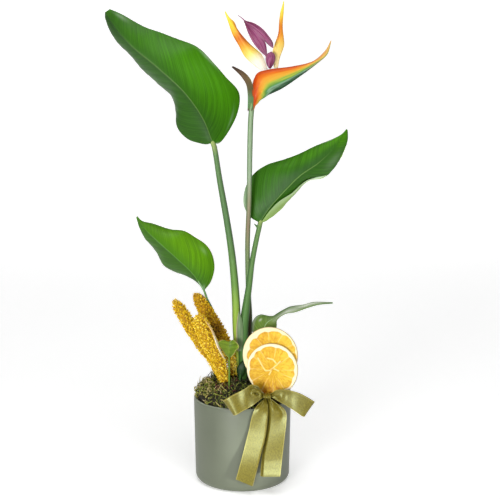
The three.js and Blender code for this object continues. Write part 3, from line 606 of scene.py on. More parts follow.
FOOT = 74
STALKS = {
    "large_leaf_stalk": {
        "path": [[-44.5, 4.5, 468], [-41, 3, 459], [-38.2, 1.2, 451.5], [-36, 0, 446], [-29, 1, 402],
                 [-20, 1, 350], [-14, 0, 310], [-10, 0, 270], [-8, 0, 237], [-7, 1, 203], [-5, 2, 172],
                 [-3, 3, 140], [-2, 3, FOOT]],
        "radii": [3.4, 3.7, 4.3, 4.7, 5.2, 5.8, 5.8, 5.2, 4], "tip": 26,
        "rows": 150, "sides": 40, "groove": 0.22, "groove_angle": 0.3,
        "lengthwise": [(0, "#9fae66"), (1, "#97a456"), (0.05, "#93a35f"), (0.09, "#5d7e4e"),
                       (0.35, "#557849"), (0.52, "#699144"), (0.62, "#94b446"), (0.75, "#adc44a")],
        "flank_shade": "#385d27",
    },
    "right_leaf_stalk": {
        "path": [[31.5, 17.5, 359], [27.5, 16, 352], [24.3, 13.5, 346.5], [22.8, 11.4, 341], [18, 8, 320],
                 [13, 4, 294], [9, 0, 264], [5, -4, 236], [2, -8, 211], [1, -11, 178], [1, -12, 146],
                 [1, -12, FOOT]],
        "radii": [3.2, 3.4, 3.6, 4.4, 6.0, 6.4, 6.2, 5, 4.5], "tip": 20,
        "rows": 130, "sides": 40, "groove": 0.2, "groove_angle": 2.6,
        "lengthwise": [(0, "#a8b96c"), (1, "#2b4c1d"), (0.05, "#9db066"), (0.08, "#66884f"), (0.4, "#597f45"),
                       (0.6, "#507a40"), (0.75, "#3a6124")],
        "flank_shade": "#2f5a30",
    },
    "flower_stalk": {
        "path": [[13.5, -2, 503], [12, -2, 491], [11, -1, 478], [10, 0, 441], [9, 3, 376], [7, 9, 322],
                 [7, 12, 292], [8, 13, 254], [10, 13, 214], [9, 13, 179], [8, 13, 142], [8, 13, FOOT]],
        "radii": [3.4, 3.5, 3.2, 3.2, 3.2, 3.3, 3.4, 3.6, 3.6], "tip": 3,
        "rows": 160, "sides": 36,
        # Low down the stem is purple-brown, and the darkest stops towards its foot are painted shade.
        "lengthwise": [(0, "#7d9a5c"), (1, "#2b211c"), (0.03, "#8aa27c"), (0.22, "#93a88a"), (0.3, "#8f8d6f"),
                       (0.38, "#8a7b63"), (0.46, "#7b8a5f"), (0.55, "#6f8f58"), (0.62, "#5a6240"),
                       (0.7, "#4c3f38")],
        "flank_shade": "#4f7043", "from_front": 0.08,
    },
    "small_leaf_stalk": {
        "path": [[-58.5, 4.4, 268.5], [-54.5, 6.2, 261.5], [-51, 8, 255], [-47, 13.5, 242], [-39, 19.5, 224],
                 [-28, 21, 191], [-19, 20, 157], [-15, 17, 135], [-14, 17, FOOT]],
        "radii": [1.4, 1.5, 1.7, 2, 2], "tip": 15, "rows": 60, "sides": 20,
        "lengthwise": [(0, "#93b887"), (1, "#5d7a33"), (0.1, "#6f9a5c")],
        "flank_shade": "#4a6f3a",
    },
    "twisted_leaf_stalk": {
        "path": [[24.4, -3.6, 190], [23, -1, 184], [22, 1, 179.8], [21, 0, 150], [20, 0, FOOT]],
        "radii": [1.8, 2.2, 2.4], "tip": 10, "rows": 40, "sides": 20,
        "lengthwise": [(0, "#6a9648"), (1, "#54702f")], "flank_shade": "#48692f",
    },
    "front_leaf_stalk": {
        "path": [[-17, -31, 179], [-17, -30.2, 174], [-17, -29.6, 171], [-17, -30, 158], [-17, -31, 144],
                 [-17, -31, FOOT]],
        "radii": [1, 1.2, 1.4, 1.5], "tip": 7, "rows": 40, "sides": 18,
        "lengthwise": [(0, "#6f8f35"), (1, "#5f7a2c")], "flank_shade": "#4b6a24",
    },
    "foot_leaf_stalk": {
        "path": [[-2.6, -22.6, 149], [-2.9, -21.6, 144.5], [-3, -20.9, 141], [-3, -21, 128], [-3, -21, FOOT]],
        "radii": [1.4, 1.6, 1.6], "tip": 7, "rows": 40, "sides": 18,
        "lengthwise": [(0, "#3e6a33"), (1, "#35552a")], "flank_shade": "#2d4d22",
    },
}
for name, stalk in STALKS.items():
    places, facts = tube(stalk["path"], stalk["radii"], stalk["rows"], stalk["sides"],
                         stalk.get("groove", 0), stalk.get("groove_angle", 0), ribs=0.012,
                         round_top=stalk["tip"])
    piece = sheet_of(name + "_skin", places, rolled=True, **facts)
    smooth(piece)
    skin = stalk_finish("waxy_" + name + "_skin", stalk["lengthwise"], stalk["flank_shade"],
                        stalk.get("from_front", 0.35))
    finish_piece(piece, skin, "flower_stalk" if name == "flower_stalk" else "stalk", name)

# %% [markdown]
# A small pointed ear stands off the right leaf's stalk, just under the blade.
# %% Ear
places, facts = tube([[22.5, 10.5, 337], [19.5, 10.5, 340], [15.8, 11, 343.6]], [2.0, 1.5, 0.5], 16, 12)
ear = sheet_of("stalk_ear", places, rolled=True, **facts)
smooth(ear)
finish_piece(ear, bpy.data.materials["waxy_right_leaf_stalk_skin"], "stalk")

# %% [markdown]
# The right leaf's stalk grows out of a sheath, whose free edge stands off to the left as a thin flap with
# a pale pink rim. It is a small sheet that follows the stalk's side.
# %% Sheath flap
flap_t = np.linspace(0, 1, 41)[:, None]
flap_share = np.linspace(0, 1, 17)[None]
flap_line = course([[-4.6, -12.5, 231], [-6.2, -13.5, 222], [-7.6, -14.5, 208], [-7.4, -15, 194],
                    [-5.5, -15.5, 178]])
inner_line = course([[-4.4, -12.3, 230.6], [-1.0, -13.8, 222], [1.0, -15.6, 208], [1.0, -16.2, 194],
                     [0.5, -16.6, 178]])
outer, inner = flap_line(flap_t[:, 0]), inner_line(flap_t[:, 0])
places = outer[:, None] * (1 - flap_share[..., None]) + inner[:, None] * flap_share[..., None]
places[..., 1] -= 1.2 * np.sin(math.pi * flap_share) * np.sin(math.pi * flap_t)
rim = bell(flap_share * 9 / 0.9) + 0 * flap_t
sheath_flap = sheet_of("sheath_flap", places, rim=rim, along=flap_t + 0 * flap_share,
                       across=flap_share + 0 * flap_t)
thicken(sheath_flap, 0.6)
smooth(sheath_flap)
flap_look, tree, shader = new_material("dry_sheath_skin", Roughness=0.5, IOR=1.45, Specular_IOR_Level=0.3)
fact = {key: add_node(tree, "Attribute", attribute_name=key).outputs["Fac"]
        for key in ("along", "across", "rim")}
where = add_node(tree, "CombineXYZ", {"X": fact["across"], "Y": fact["along"]})
stretched = add_node(tree, "Mapping", {"Vector": where.outputs["Vector"], "Scale": (8.0, 1.5, 1.0)})
fibres = add_node(tree, "TexNoise", {"Vector": stretched.outputs["Vector"], "Scale": 1.5, "Detail": 3.0})
flap_tone = add_node(tree, "ValToRGB", {"Fac": fibres.outputs["Fac"]},
                     stops=[(0.3, "#4f6a45"), (0.7, "#71865f")])
rimmed = add_node(tree, "Mix", {0: fact["rim"], 6: flap_tone.outputs["Color"], 7: colour("#b59a8c")},
                  data_type="RGBA")
tree.links.new(rimmed.outputs[2], shader.inputs["Base Color"])
finish_piece(sheath_flap, flap_look, "stalk")

# %% [markdown]
# ## Leaves
#
# A leaf is a thin sheet with a midrib that folds it like a roof. Lines from its base to its tip give its
# two margins and its rib, and the sheet is spanned between them, arched and waved. The veins leave the rib
# at a slant and turn towards the tip. Every vertex knows which vein it lies on, so the material can draw
# the veins along the leaf's own directions.
# %% A sheet between lines
def span(lines, columns, rows, arches, waves=0, depth=0.0, dense=1.4):
    """Places between lines from base to tip, each panel arched and waved. The second line is the rib."""
    t = np.linspace(0, 1, rows + 1)
    curves = [course(points)(t) for points in lines]
    flat, lift, across = [], [], []
    for k, (count, arch) in enumerate(zip(columns, arches)):
        even = np.linspace(0, 1, count + 1)[1 if k else 0 :]
        share = 1 - (1 - even) ** dense if k == 0 else (even**dense if k == 1 else even)
        flat.append(curves[k][:, None] * (1 - share[:, None]) + curves[k + 1][:, None] * share[:, None])
        outward = 1 - share if k == 0 else share
        wave = depth * outward**2 * np.sin(2 * math.pi * waves * t[:, None] + 1.7 * k)
        lift.append(4 * arch * share * (1 - share) + wave)
        across.append(share + k - 1)
    flat, lift, across = np.concatenate(flat, 1), np.concatenate(lift, 1), np.concatenate(across)
    fade = np.sqrt(np.sin(math.pi * np.clip(t, 0.001, 0.999)))[:, None]
    rib = curves[1]
    tangent = np.gradient(rib, axis=0)
    tangent /= np.linalg.norm(tangent, axis=1, keepdims=True)
    ahead = ((flat - rib[:, None]) * tangent[:, None]).sum(2)
    side = np.sqrt(np.maximum(((flat - rib[:, None]) ** 2).sum(2) - ahead**2, 0))
    length = np.linalg.norm(np.diff(rib, axis=0), axis=1).sum()
    facts = {"along": t[:, None] * np.ones(len(across)), "across": across[None] * np.ones((rows + 1, 1)),
             "side": side, "reach": length * t[:, None] + ahead}
    return flat + normals_of(flat) * (lift * fade)[..., None], facts


def ease(value, low, high):
    share = np.clip((value - low) / (high - low), 0, 1)
    return share * share * (3 - 2 * share)


def patches_at(facts, patches):
    """A sum of soft round patches: each has its place along and across, its two radii and its amount."""
    total = np.zeros_like(facts["along"])
    for along, across, long, wide, amount in patches:
        far = ((facts["along"] - along) / long) ** 2 + ((facts["across"] - across) / wide) ** 2
        total += amount * np.exp(-far)
    return total


# %% [markdown]
# A leaf's upper skin is satin from its wax. The veins show as fine lighter and darker streaks, 1 to 2 mm
# apart, and as a slight corrugation that breaks up the gloss. The midrib is a little paler, and a thin line
# of another tone, mostly olive, runs along the margin. The underside is paler. The tone from dark to bright,
# set for each half of the blade and in soft patches, is painted light and shade, and pale patches over the
# skin are painted highlights.
# %% Leaf skin
def leaf_finish(name, dark, bright, rib, margin, underside, shade=None, gloss=0.4, rib_width=0.55,
                streak=0.65, highlight_tone="#c9dcc0"):
    """Tone is painted light and shade from dark to bright, and veins streak it. Rib, margin and underside
    have their own tones, and painted highlights lie on top.
    """
    material, tree, shader = new_material(name, Roughness=gloss, IOR=1.45, Specular_IOR_Level=0.17)
    fact = {key: add_node(tree, "Attribute", attribute_name=key).outputs["Fac"]
            for key in ("tone", "vein", "side", "rim", "under", "painted_highlight", "ribbed")}
    where = add_node(tree, "CombineXYZ", {"X": fact["vein"], "Y": fact["side"], "Z": fact["under"]})
    stretched = add_node(tree, "Mapping", {"Vector": where.outputs["Vector"], "Scale": (0.62, 0.02, 3.0)})
    veins = add_node(tree, "TexNoise", {"Vector": stretched.outputs["Vector"], "Scale": 1.0, "Detail": 5.0,
                                        "Roughness": 0.6})
    skin = add_node(tree, "ValToRGB", {"Fac": fact["tone"]},
                    stops=[(0, dark), (1, bright), (0.5, shade or dark)])
    if not shade:
        skin.color_ramp.elements.remove(skin.color_ramp.elements[1])
    vein_tone = add_node(tree, "ValToRGB", {"Fac": veins.outputs["Fac"]},
                         stops=[(0.32, "#7c8478"), (0.64, "#ffffff")])
    streaked = add_node(tree, "Mix", {0: streak, 6: skin.outputs["Color"], 7: vein_tone.outputs["Color"]},
                        data_type="RGBA", blend_type="MULTIPLY")
    rib_share = add_node(tree, "MapRange",
                         {"Value": fact["side"], 1: rib_width * 0.35, 2: rib_width, 3: 1.0, 4: 0.0})
    rib_fade = add_node(tree, "Math", {0: rib_share.outputs[0], 1: fact["ribbed"]}, operation="MULTIPLY")
    ribbed = add_node(tree, "Mix", {0: rib_fade.outputs[0], 6: streaked.outputs[2], 7: colour(rib)},
                      data_type="RGBA")
    edged = add_node(tree, "Mix", {0: fact["rim"], 6: ribbed.outputs[2], 7: colour(margin)}, data_type="RGBA")
    both = add_node(tree, "Mix", {0: fact["under"], 6: edged.outputs[2], 7: colour(underside)},
                    data_type="RGBA")
    # Painted highlights: pale patches mixed over the skin.
    highlighted = add_node(tree, "Mix", {0: fact["painted_highlight"], 6: both.outputs[2], 7: colour(highlight_tone)},
                     data_type="RGBA")
    tree.links.new(highlighted.outputs[2], shader.inputs["Base Color"])
    relief = add_node(tree, "Bump", {"Height": veins.outputs["Fac"], "Strength": 0.35, "Distance": 0.0005})
    tree.links.new(relief.outputs["Normal"], shader.inputs["Normal"])
    return material


def leaf(name, lines, columns, rows, arches, tone, painted_highlight=(), waves=0, depth=0.0, slant=(0.9, 1.2), turn=0.004,
         fades=(0.7, 0.95), thickness=0.9, rib_thickness=1.6, ripple=0.0, half_shade=(0.2, 0.6)):
    """A leaf blade as a closed sheet, with the facts that its skin needs."""
    places, facts = span(lines, columns, rows, arches, waves, depth)
    left = facts["across"] < 0
    slope = np.where(left, slant[0], slant[1])
    slope = slope * (0.35 + 0.65 * ease(facts["reach"], -10, 110))
    facts["vein"] = facts["reach"] - slope * facts["side"] - turn * facts["side"] ** 2
    facts["vein"] = facts["vein"] + np.where(left, 400, 0)
    # The tone is painted light and shade: a level for each half of the blade, with lighter and darker
    # patches.
    low, high = half_shade
    facts["tone"] = np.clip(np.where(left, low, high) + patches_at(facts, tone), 0, 1)
    # Pale patches over the skin are painted highlights.
    facts["painted_highlight"] = np.clip(patches_at(facts, painted_highlight), 0, 1)
    facts["ribbed"] = 1 - ease(facts["along"], *fades)
    edge = np.minimum(facts["across"] - facts["across"].min(), facts["across"].max() - facts["across"])
    width = np.maximum(facts["side"].max(axis=1, keepdims=True), 1)
    facts["rim"] = np.clip(1.2 - edge * width / 0.8, 0, 1) * 0.8
    places = places + normals_of(places) * (
        ripple * np.sin(facts["vein"] / 2.2) * ease(facts["side"], 2, 10) * (1 - ease(facts["along"], 0.8, 1))
    )[..., None]
    piece = sheet_of(name, places, **facts)
    side, rim = fact_on(piece, "side"), fact_on(piece, "rim")
    wide = (thickness + (rib_thickness - thickness) * bell(side / 1.1)) * (1 - 0.4 * rim)
    before = vertices_of(piece)
    count = len(before)
    thicken(piece, rib_thickness, 0.0, wide / rib_thickness)
    after = vertices_of(piece)
    facing = normals_of(places).reshape(-1, 3)
    upper_first = ((after[:count] - before) * facing).sum() > 0
    is_copy = np.arange(len(after)) >= count
    under = piece.data.attributes.new("under", "FLOAT", "POINT")
    under.data.foreach_set("value", np.where(is_copy == upper_first, 1.0, 0.0))
    smooth(piece, 60)
    return piece


# %% The large leaf
large_leaf = leaf(
    "large_leaf",
    [
        [[-40, 0, 450.4], [-46, 2, 448.6], [-56, 6, 450], [-72, 14, 455], [-84, 22, 469], [-88, 28, 489],
         [-93, 32, 512], [-112, 34, 526], [-128, 34, 543], [-149, 32, 565], [-172, 28, 594], [-177, 24, 610]],
        [[-38, -1, 450.8], [-50, -4, 481], [-72, -5, 513], [-106, -2, 545], [-139, 6, 572], [-159, 12, 593],
         [-176, 20, 617]],
        [[-36, 0, 450.4], [-31, 2, 449.4], [-18, 10, 464], [-6, 17, 490], [-4, 19, 515], [-23, 20, 536],
         [-45, 19, 562], [-57, 18, 572], [-80, 18, 582], [-101, 17, 590], [-123, 17, 597], [-154, 18, 614],
         [-170, 20, 621]],
    ],
    columns=(42, 50), rows=165, arches=(3, 2.6), waves=5, depth=1.2, slant=(0.75, 1.25), turn=0.006,
    ripple=0.12, half_shade=(0.22, 0.5), fades=(0.62, 0.9),
    tone=[(0.42, 0.62, 0.26, 0.45, 0.45), (0.1, 0.3, 0.12, 0.5, -0.2), (0.72, 0.6, 0.12, 0.4, 0.0),
          (0.5, 0.06, 0.6, 0.16, -0.2), (0.95, 0.2, 0.12, 1.0, -0.22)],
    painted_highlight=[(0.93, 0.75, 0.035, 0.14, 0.16), (0.5, 0.97, 0.05, 0.03, 0.25), (0.16, 0.87, 0.05, 0.028, 0.14),
           (0.012, 0.9, 0.012, 0.12, 0.5)],
)
large_skin = leaf_finish("waxed_leaf_skin_large", dark="#284b1a", bright="#478c05", shade="#366e08",
                         rib="#4a6b2e", margin="#39581f", underside="#7fa05f")
finish_piece(large_leaf, large_skin, "leaf", "large_leaf_blade")

# %% The right leaf
right_leaf = leaf(
    "right_leaf",
    [
        [[21, 13, 346], [11, 15, 352], [2, 19, 368], [4, 23, 390], [15, 24, 408], [32, 22, 420],
         [55, 20, 428], [74, 17, 435], [97, 15, 446], [118, 13, 455], [131, 12, 462], [136, 12, 468]],
        [[23, 12, 345.5], [36, 9, 365], [56, 7, 388], [76, 6, 408], [99, 6, 424], [121, 8, 445],
         [136.5, 12, 467]],
        [[25, 12, 345.5], [31, 13, 347], [50, 17, 362], [70, 20, 383], [88, 22, 401], [107, 22, 404],
         [118, 20, 414], [130, 17, 431], [137, 13, 452], [137, 12, 466]],
        [[25.5, 9, 346.5], [36, 2.5, 362], [48, 3.5, 373], [63, 9, 382.5], [81, 15, 398.5], [104, 18, 406],
         [117, 21.5, 415.5], [129, 19, 433], [135.5, 15, 453], [136.5, 13, 465]],
    ],
    columns=(46, 32, 16), rows=150, arches=(3, 1.5, -1.2), waves=3, depth=0.8, slant=(1.1, 0.9), turn=0.006,
    ripple=0.1, half_shade=(0.38, 0.42), fades=(0.55, 0.85),
    tone=[(0.2, -0.7, 0.25, 0.4, 0.12), (0.75, -0.6, 0.3, 0.4, 0.3), (0.5, -0.1, 0.6, 0.16, -0.25),
          (0.93, 0.0, 0.1, 1.2, 0.4)],
    painted_highlight=[(0.74, 0.6, 0.08, 0.25, 0.1), (0.9, -0.85, 0.05, 0.06, 0.4), (0.17, -1.0, 0.09, 0.1, 0.55),
           (0.62, 2.0, 0.16, 0.5, 0.9),
           (0.28, 2.0, 0.22, 0.4, 0.4)],
)
right_skin = leaf_finish("waxed_leaf_skin_right", dark="#27501a", bright="#4c8e04", shade="#34690e",
                         rib="#5c7d3b", margin="#4a5a25", underside="#86a84c")
finish_piece(right_leaf, right_skin, "leaf", "right_leaf_blade")

# %% The small left leaf
small_leaf = leaf(
    "small_leaf",
    [
        [[-52, 9, 257], [-60, 12, 266], [-74, 18, 272], [-90, 24, 277], [-106, 26, 287], [-115, 24, 303],
         [-122, 20, 315], [-129, 16, 324], [-136, 11, 339], [-138.5, 8, 351]],
        [[-51, 8, 256], [-66, 4, 279], [-85, 2, 298], [-108, 2, 319], [-126, 4, 336], [-139, 8, 353]],
        [[-50, 8.5, 256], [-42, 10, 266], [-37, 14, 284], [-40, 17, 301], [-48, 19, 314], [-63, 19, 325],
         [-77, 18, 333], [-94, 17, 335], [-119, 14, 344], [-133, 11, 347], [-138, 8.5, 354]],
    ],
    columns=(30, 38), rows=110, arches=(2, 3), waves=3, depth=0.7, slant=(0.8, 1.1), turn=0.009, ripple=0.07,
    half_shade=(0.24, 0.64), fades=(0.6, 0.9),
    tone=[(0.45, 0.6, 0.3, 0.45, 0.35), (0.08, 0.2, 0.12, 0.6, -0.25), (0.5, 0.06, 0.6, 0.15, -0.1),
          (0.9, -0.4, 0.12, 0.4, 0.2)],
    painted_highlight=[(0.36, 0.8, 0.035, 0.06, 0.12), (0.02, 0.3, 0.03, 0.2, 0.25)],
)
small_skin = leaf_finish("waxed_leaf_skin_small", dark="#2d5214", bright="#629a0c", shade="#437712",
                         rib="#4f7c31", margin="#6b6a2e", underside="#9dbb72", rib_width=0.42)
finish_piece(small_leaf, small_skin, "leaf", "small_leaf_blade")

# %% The twisted leaf
twisted_leaf = leaf(
    "twisted_leaf",
    [
        [[21, 1, 181], [16, 5, 191], [13, 6, 203], [14, 7, 213], [18, 8, 219], [25, 9, 222], [31, 8, 219.5],
         [37, 4, 219], [50, 3, 227], [63, 2, 234], [80, 0, 237], [94, -2, 241], [119, -6, 241.5]],
        [[22, 1, 180.5], [25, -3, 192], [28, -5, 204], [32, -5, 213], [38, -3, 217], [48, -2, 222],
         [62, -1, 230.5], [80, -2, 234], [94, -3, 239], [119.5, -6, 240.8]],
        [[23, 1, 181], [34, -2, 190], [44, -3, 201], [45.5, -4, 210], [46, -5, 217], [56, -5, 225],
         [71, -4, 228], [86, -4, 233.5], [101, -5, 238], [119, -6.5, 240]],
    ],
    columns=(22, 22), rows=110, arches=(1.5, 1), slant=(0.7, 0.7), half_shade=(0.4, 0.5), rib_thickness=1.2,
    fades=(0.2, 0.5),
    tone=[(0.2, -0.5, 0.12, 0.5, 0.5), (0.3, 0.4, 0.1, 0.5, 0.5), (0.5, -0.8, 0.12, 0.4, -0.5),
          (0.7, 1.0, 0.3, 0.3, 0.5), (0.7, -1.0, 0.3, 0.25, -0.3)],
    painted_highlight=[(0.27, -0.5, 0.013, 0.07, 0.7), (0.5, 0.4, 0.12, 0.5, 0.75), (0.78, -0.15, 0.16, 0.6, 0.75),
           (0.22, -0.9, 0.12, 0.12, 0.35)],
)
twisted_skin = leaf_finish("waxed_leaf_skin_twisted", dark="#416130", bright="#728f3c", rib="#8fae7c",
                           margin="#3f6428", underside="#6f8f62", gloss=0.42, highlight_tone="#c2c6ba")
finish_piece(twisted_leaf, twisted_skin, "leaf", "twisted_leaf_blade")

# %% The two young leaves
front_leaf = leaf(
    "front_leaf",
    [
        [[-18, -29, 172.5], [-22, -29, 177], [-27, -31, 185], [-32, -34, 193], [-29, -33, 196],
         [-25, -31, 197]],
        [[-17, -29.6, 172], [-17, -29.6, 178], [-17, -30, 184], [-17, -30, 190], [-17.5, -29, 194]],
        [[-16, -29, 172.5], [-13, -30, 175], [-8, -34, 183], [-4, -37, 189], [-7, -34, 194], [-12, -30, 197]],
    ],
    columns=(20, 20), rows=40, arches=(-1, -1), slant=(0.5, 0.5), half_shade=(0.75, 0.45), rib_thickness=1.2,
    fades=(0.3, 0.8), tone=[(0.6, -0.8, 0.3, 0.4, 0.2), (0.5, 0.9, 0.4, 0.2, 0.3)],
)
front_skin = leaf_finish("waxed_leaf_skin_front", dark="#486a0f", bright="#7b932b", rib="#87952e",
                         margin="#b5a765", underside="#8fae5f")
finish_piece(front_leaf, front_skin, "leaf", "front_leaf_blade")

foot_leaf = leaf(
    "foot_leaf",
    [
        [[-4, -20.5, 142], [-6.5, -20, 149], [-7, -20, 156], [-3, -19.5, 163], [1, -19, 166]],
        [[-3, -21, 141.8], [-2.5, -21.5, 150], [-1, -21.5, 158], [1.5, -19.5, 166.5]],
        [[-2, -20.5, 142], [2, -21.5, 148], [4, -22, 155], [4, -21, 162], [2, -20, 166]],
    ],
    columns=(14, 14), rows=36, arches=(0.4, 0.4), slant=(0.6, 0.6), half_shade=(0.35, 0.5), rib_thickness=1.2,
    fades=(0.5, 0.9), tone=[(0.5, 0.3, 0.2, 0.5, 0.3)],
)
# The green is the leaf's own, darkened far below the other leaves' as painted shade at the plant's base.
shaded_foot_skin = leaf_finish("waxed_leaf_skin_foot", dark="#10260b", bright="#22461a", rib="#2f4f1c",
                        margin="#16260a", underside="#2c471c")
finish_piece(foot_leaf, shaded_foot_skin, "leaf", "foot_leaf_blade")

# %% [markdown]
# ## The flower
#
# A bird of paradise flower opens out of a spathe, a boat-shaped bract that lies across the top of the
# stem. Two yellow and orange sepals stand up from it, and purple petals lie between them like an arrow.
# Sepals and petals are sheets between lines as the leaves are, with a stronger ridge. The spathe is a
# closed boat: rings between a keel line and a top line.
# %% Petal skin
def petal_finish(name, lengthwise, blush, streak_tone, streak=0.4, gloss=0.45, fine=7.0):
    """A ramp of colours from the base to the tip, a blush where one is noted, and fine streaks."""
    material, tree, shader = new_material(
        name, Roughness=gloss, IOR=1.4, Specular_IOR_Level=0.18,
        Subsurface_Weight=0.12, Subsurface_Radius=(0.6, 0.35, 0.15), Subsurface_Scale=0.0015,
    )
    fact = {key: add_node(tree, "Attribute", attribute_name=key).outputs["Fac"]
            for key in ("along", "across", "blush")}
    where = add_node(tree, "CombineXYZ", {"X": fact["across"], "Y": fact["along"]})
    stretched = add_node(tree, "Mapping", {"Vector": where.outputs["Vector"], "Scale": (fine, 1.6, 1.0)})
    streaks = add_node(tree, "TexNoise", {"Vector": stretched.outputs["Vector"], "Scale": 1.0, "Detail": 4.0})
    base = add_node(tree, "ValToRGB", {"Fac": fact["along"]}, stops=lengthwise)
    blushed = add_node(tree, "Mix", {0: fact["blush"], 6: base.outputs["Color"], 7: colour(blush)},
                       data_type="RGBA")
    streak_place = add_node(tree, "MapRange",
                            {"Value": streaks.outputs["Fac"], 1: 0.45, 2: 0.75, 3: 0.0, 4: streak})
    streaked = add_node(tree, "Mix",
                        {0: streak_place.outputs[0], 6: blushed.outputs[2], 7: colour(streak_tone)},
                        data_type="RGBA")
    tree.links.new(streaked.outputs[2], shader.inputs["Base Color"])
    relief = add_node(tree, "Bump", {"Height": streaks.outputs["Fac"], "Strength": 0.3, "Distance": 0.0004})
    tree.links.new(relief.outputs["Normal"], shader.inputs["Normal"])
    return material


def petal(name, lines, columns, rows, arches, blush=(), thickness=1.0, ridge=1.8):
    """A sepal or petal as a closed sheet with a ridge along its second line."""
    places, facts = span(lines, columns, rows, arches)
    facts["blush"] = np.clip(patches_at(facts, blush), 0, 1)
    edge = np.minimum(facts["across"] - facts["across"].min(), facts["across"].max() - facts["across"])
    wide = thickness * (0.45 + 0.55 * ease(edge, 0, 0.4)) + (ridge - thickness) * bell(facts["across"] / 0.16)
    piece = sheet_of(name, places, wide=wide, **facts)
    thicken(piece, ridge, 0.0, np.clip(fact_on(piece, "wide") / ridge, 0, 1))
    smooth(piece, 60)
    return piece


# %% Sepals
sepal_left = petal(
    "left_sepal",
    [
        [[23, 2, 543.7], [13, 5, 551], [3, 6, 561], [-4, 6, 574], [-12, 5, 588], [-17, 4, 602],
         [-22, 3, 616]],
        [[28, 0, 543.7], [18, 0.5, 559], [8, 1, 571], [0, 1.5, 583], [-7, 2, 594], [-14, 3, 604],
         [-21.5, 3, 617]],
        [[33, 2, 544.2], [26, 3, 562], [11, 3.5, 575.5], [1, 3.5, 586], [-6, 4, 595], [-10, 4, 604],
         [-17, 4, 610], [-21, 3.5, 616.5]],
    ],
    columns=(26, 26), rows=90, arches=(1.2, 0.6),
    blush=[(0.61, 0.5, 0.15, 0.5, 1.05), (0.56, -0.3, 0.1, 0.6, 0.35), (0.78, 0.6, 0.08, 0.25, 0.6),
           (0.56, -0.95, 0.14, 0.25, 0.35)],
)
sepal_left_skin = petal_finish(
    "sepal_skin_left",
    [(0, "#f2eee2"), (1, "#e2d050"), (0.16, "#f3ebd2"), (0.3, "#ecd166"), (0.42, "#e6a42c"),
     (0.56, "#dd7a18"), (0.68, "#e2ac2a"), (0.8, "#e3c02e")],
    "#a23208", "#f3dc8c", streak=0.25,
)
finish_piece(sepal_left, sepal_left_skin, "sepal", "sepal_left")
sepal_right = petal(
    "right_sepal",
    [
        [[41, 5, 546], [39, 6, 566], [41.8, 7, 576], [46.5, 7, 590], [47.5, 7, 604], [49, 6, 616],
         [52.8, 5, 629]],
        [[43.6, 4, 546], [45, 4.2, 565], [48.6, 4.6, 578], [49.6, 5, 590], [50, 5, 604], [51.3, 5, 616],
         [53.2, 5, 630]],
        [[46, 5, 546], [48.6, 6, 559], [54, 7, 575], [53.2, 7, 585], [51.8, 7, 598], [53, 6, 616],
         [53.7, 5, 629]],
    ],
    columns=(18, 18), rows=90, arches=(0.8, 0.8),
    blush=[(0.56, -0.7, 0.16, 0.55, 0.95), (0.7, 0.2, 0.08, 0.5, 0.3)],
)
sepal_right_skin = petal_finish(
    "sepal_skin_right",
    [(0, "#efe9bc"), (1, "#d9cc44"), (0.2, "#e7cf80"), (0.36, "#e0bc58"), (0.5, "#d2841a"), (0.62, "#c97412"),
     (0.75, "#dfb636"), (0.88, "#dccb3c")],
    "#b9540a", "#e8cc7c", streak=0.3,
)
finish_piece(sepal_right, sepal_right_skin, "sepal", "sepal_right")

# %% [markdown]
# The petals are violet, with paler stripes that run from the base to the tip, and a darker edge at the
# notch between the arrow's two lobes. The arrow ends in a fine thread, the tip of the style.
# %% Petals
violet = [(0, "#541a38"), (1, "#844a68"), (0.12, "#692247"), (0.4, "#7d335a"), (0.75, "#823b61")]
petal_skin = petal_finish("violet_petal_skin", violet, "#4f1232", "#c392ab", streak=0.75, gloss=0.42,
                          fine=5.5)
short_petal = petal(
    "short_petal_blade",
    [
        [[34.4, -4, 545.3], [31.6, -4, 550], [30.1, -4, 556], [30.6, -4, 561], [33, -4, 564.4],
         [36.4, -4, 565.6]],
        [[35.5, -6, 545.3], [35.8, -8, 553], [36.6, -8.5, 559], [37, -5, 566]],
        [[36.6, -4, 545.3], [39.6, -4, 549.5], [41.8, -4, 555], [42.2, -4, 560], [40.8, -4, 564],
         [37.6, -4, 565.7]],
    ],
    columns=(16, 16), rows=50, arches=(0.6, 0.6), ridge=3.0,
    blush=[(0.5, 1.0, 0.6, 0.3, 0.6), (0.5, -1.0, 0.6, 0.3, 0.5)],
)
finish_piece(short_petal, petal_skin, "petal", "short_petal")
ARROW = {
    "upper": [
        [[3, -6, 604], [11, -7, 597], [20, -7, 587.5], [28.5, -7, 579.5], [34, -7, 574], [38, -7.5, 571]],
        [[3.4, -6.4, 604.8], [13, -8.5, 600], [23, -9, 593], [31, -9, 584.5], [36, -9, 577.5],
         [39.2, -8, 571]],
        [[3.8, -6, 605], [16, -6, 601.5], [26, -6, 595], [34.6, -6.5, 585], [39.4, -6.5, 577],
         [39.6, -7, 571]],
    ],
    "lower": [
        [[2.8, -6, 603.6], [8, -5, 589], [14.5, -5, 577], [21.5, -5, 568.5], [25.5, -5.5, 564.5],
         [29.5, -6, 561]],
        [[2.8, -6.4, 604.2], [11, -8.5, 591], [18.5, -9, 579.5], [25, -9, 570], [28, -8, 565],
         [31, -6.6, 560]],
        [[3.2, -6, 604.8], [14, -7.5, 595], [23, -8, 585.5], [29.5, -8, 578], [31.5, -7, 570],
         [32, -6, 560.5]],
    ],
}
lobes = [
    petal("arrow_" + which, lines, columns=(16, 16), rows=60, arches=(0.5, 0.5),
          blush=[(0.75, 1.0 if which == "lower" else -1.0, 0.3, 0.35, 0.7), (0.95, 0, 0.12, 2.0, 0.5),
                 (0.75, 0.6, 0.4, 0.6, 0.35 if which == "upper" else 0)])
    for which, lines in ARROW.items()
]
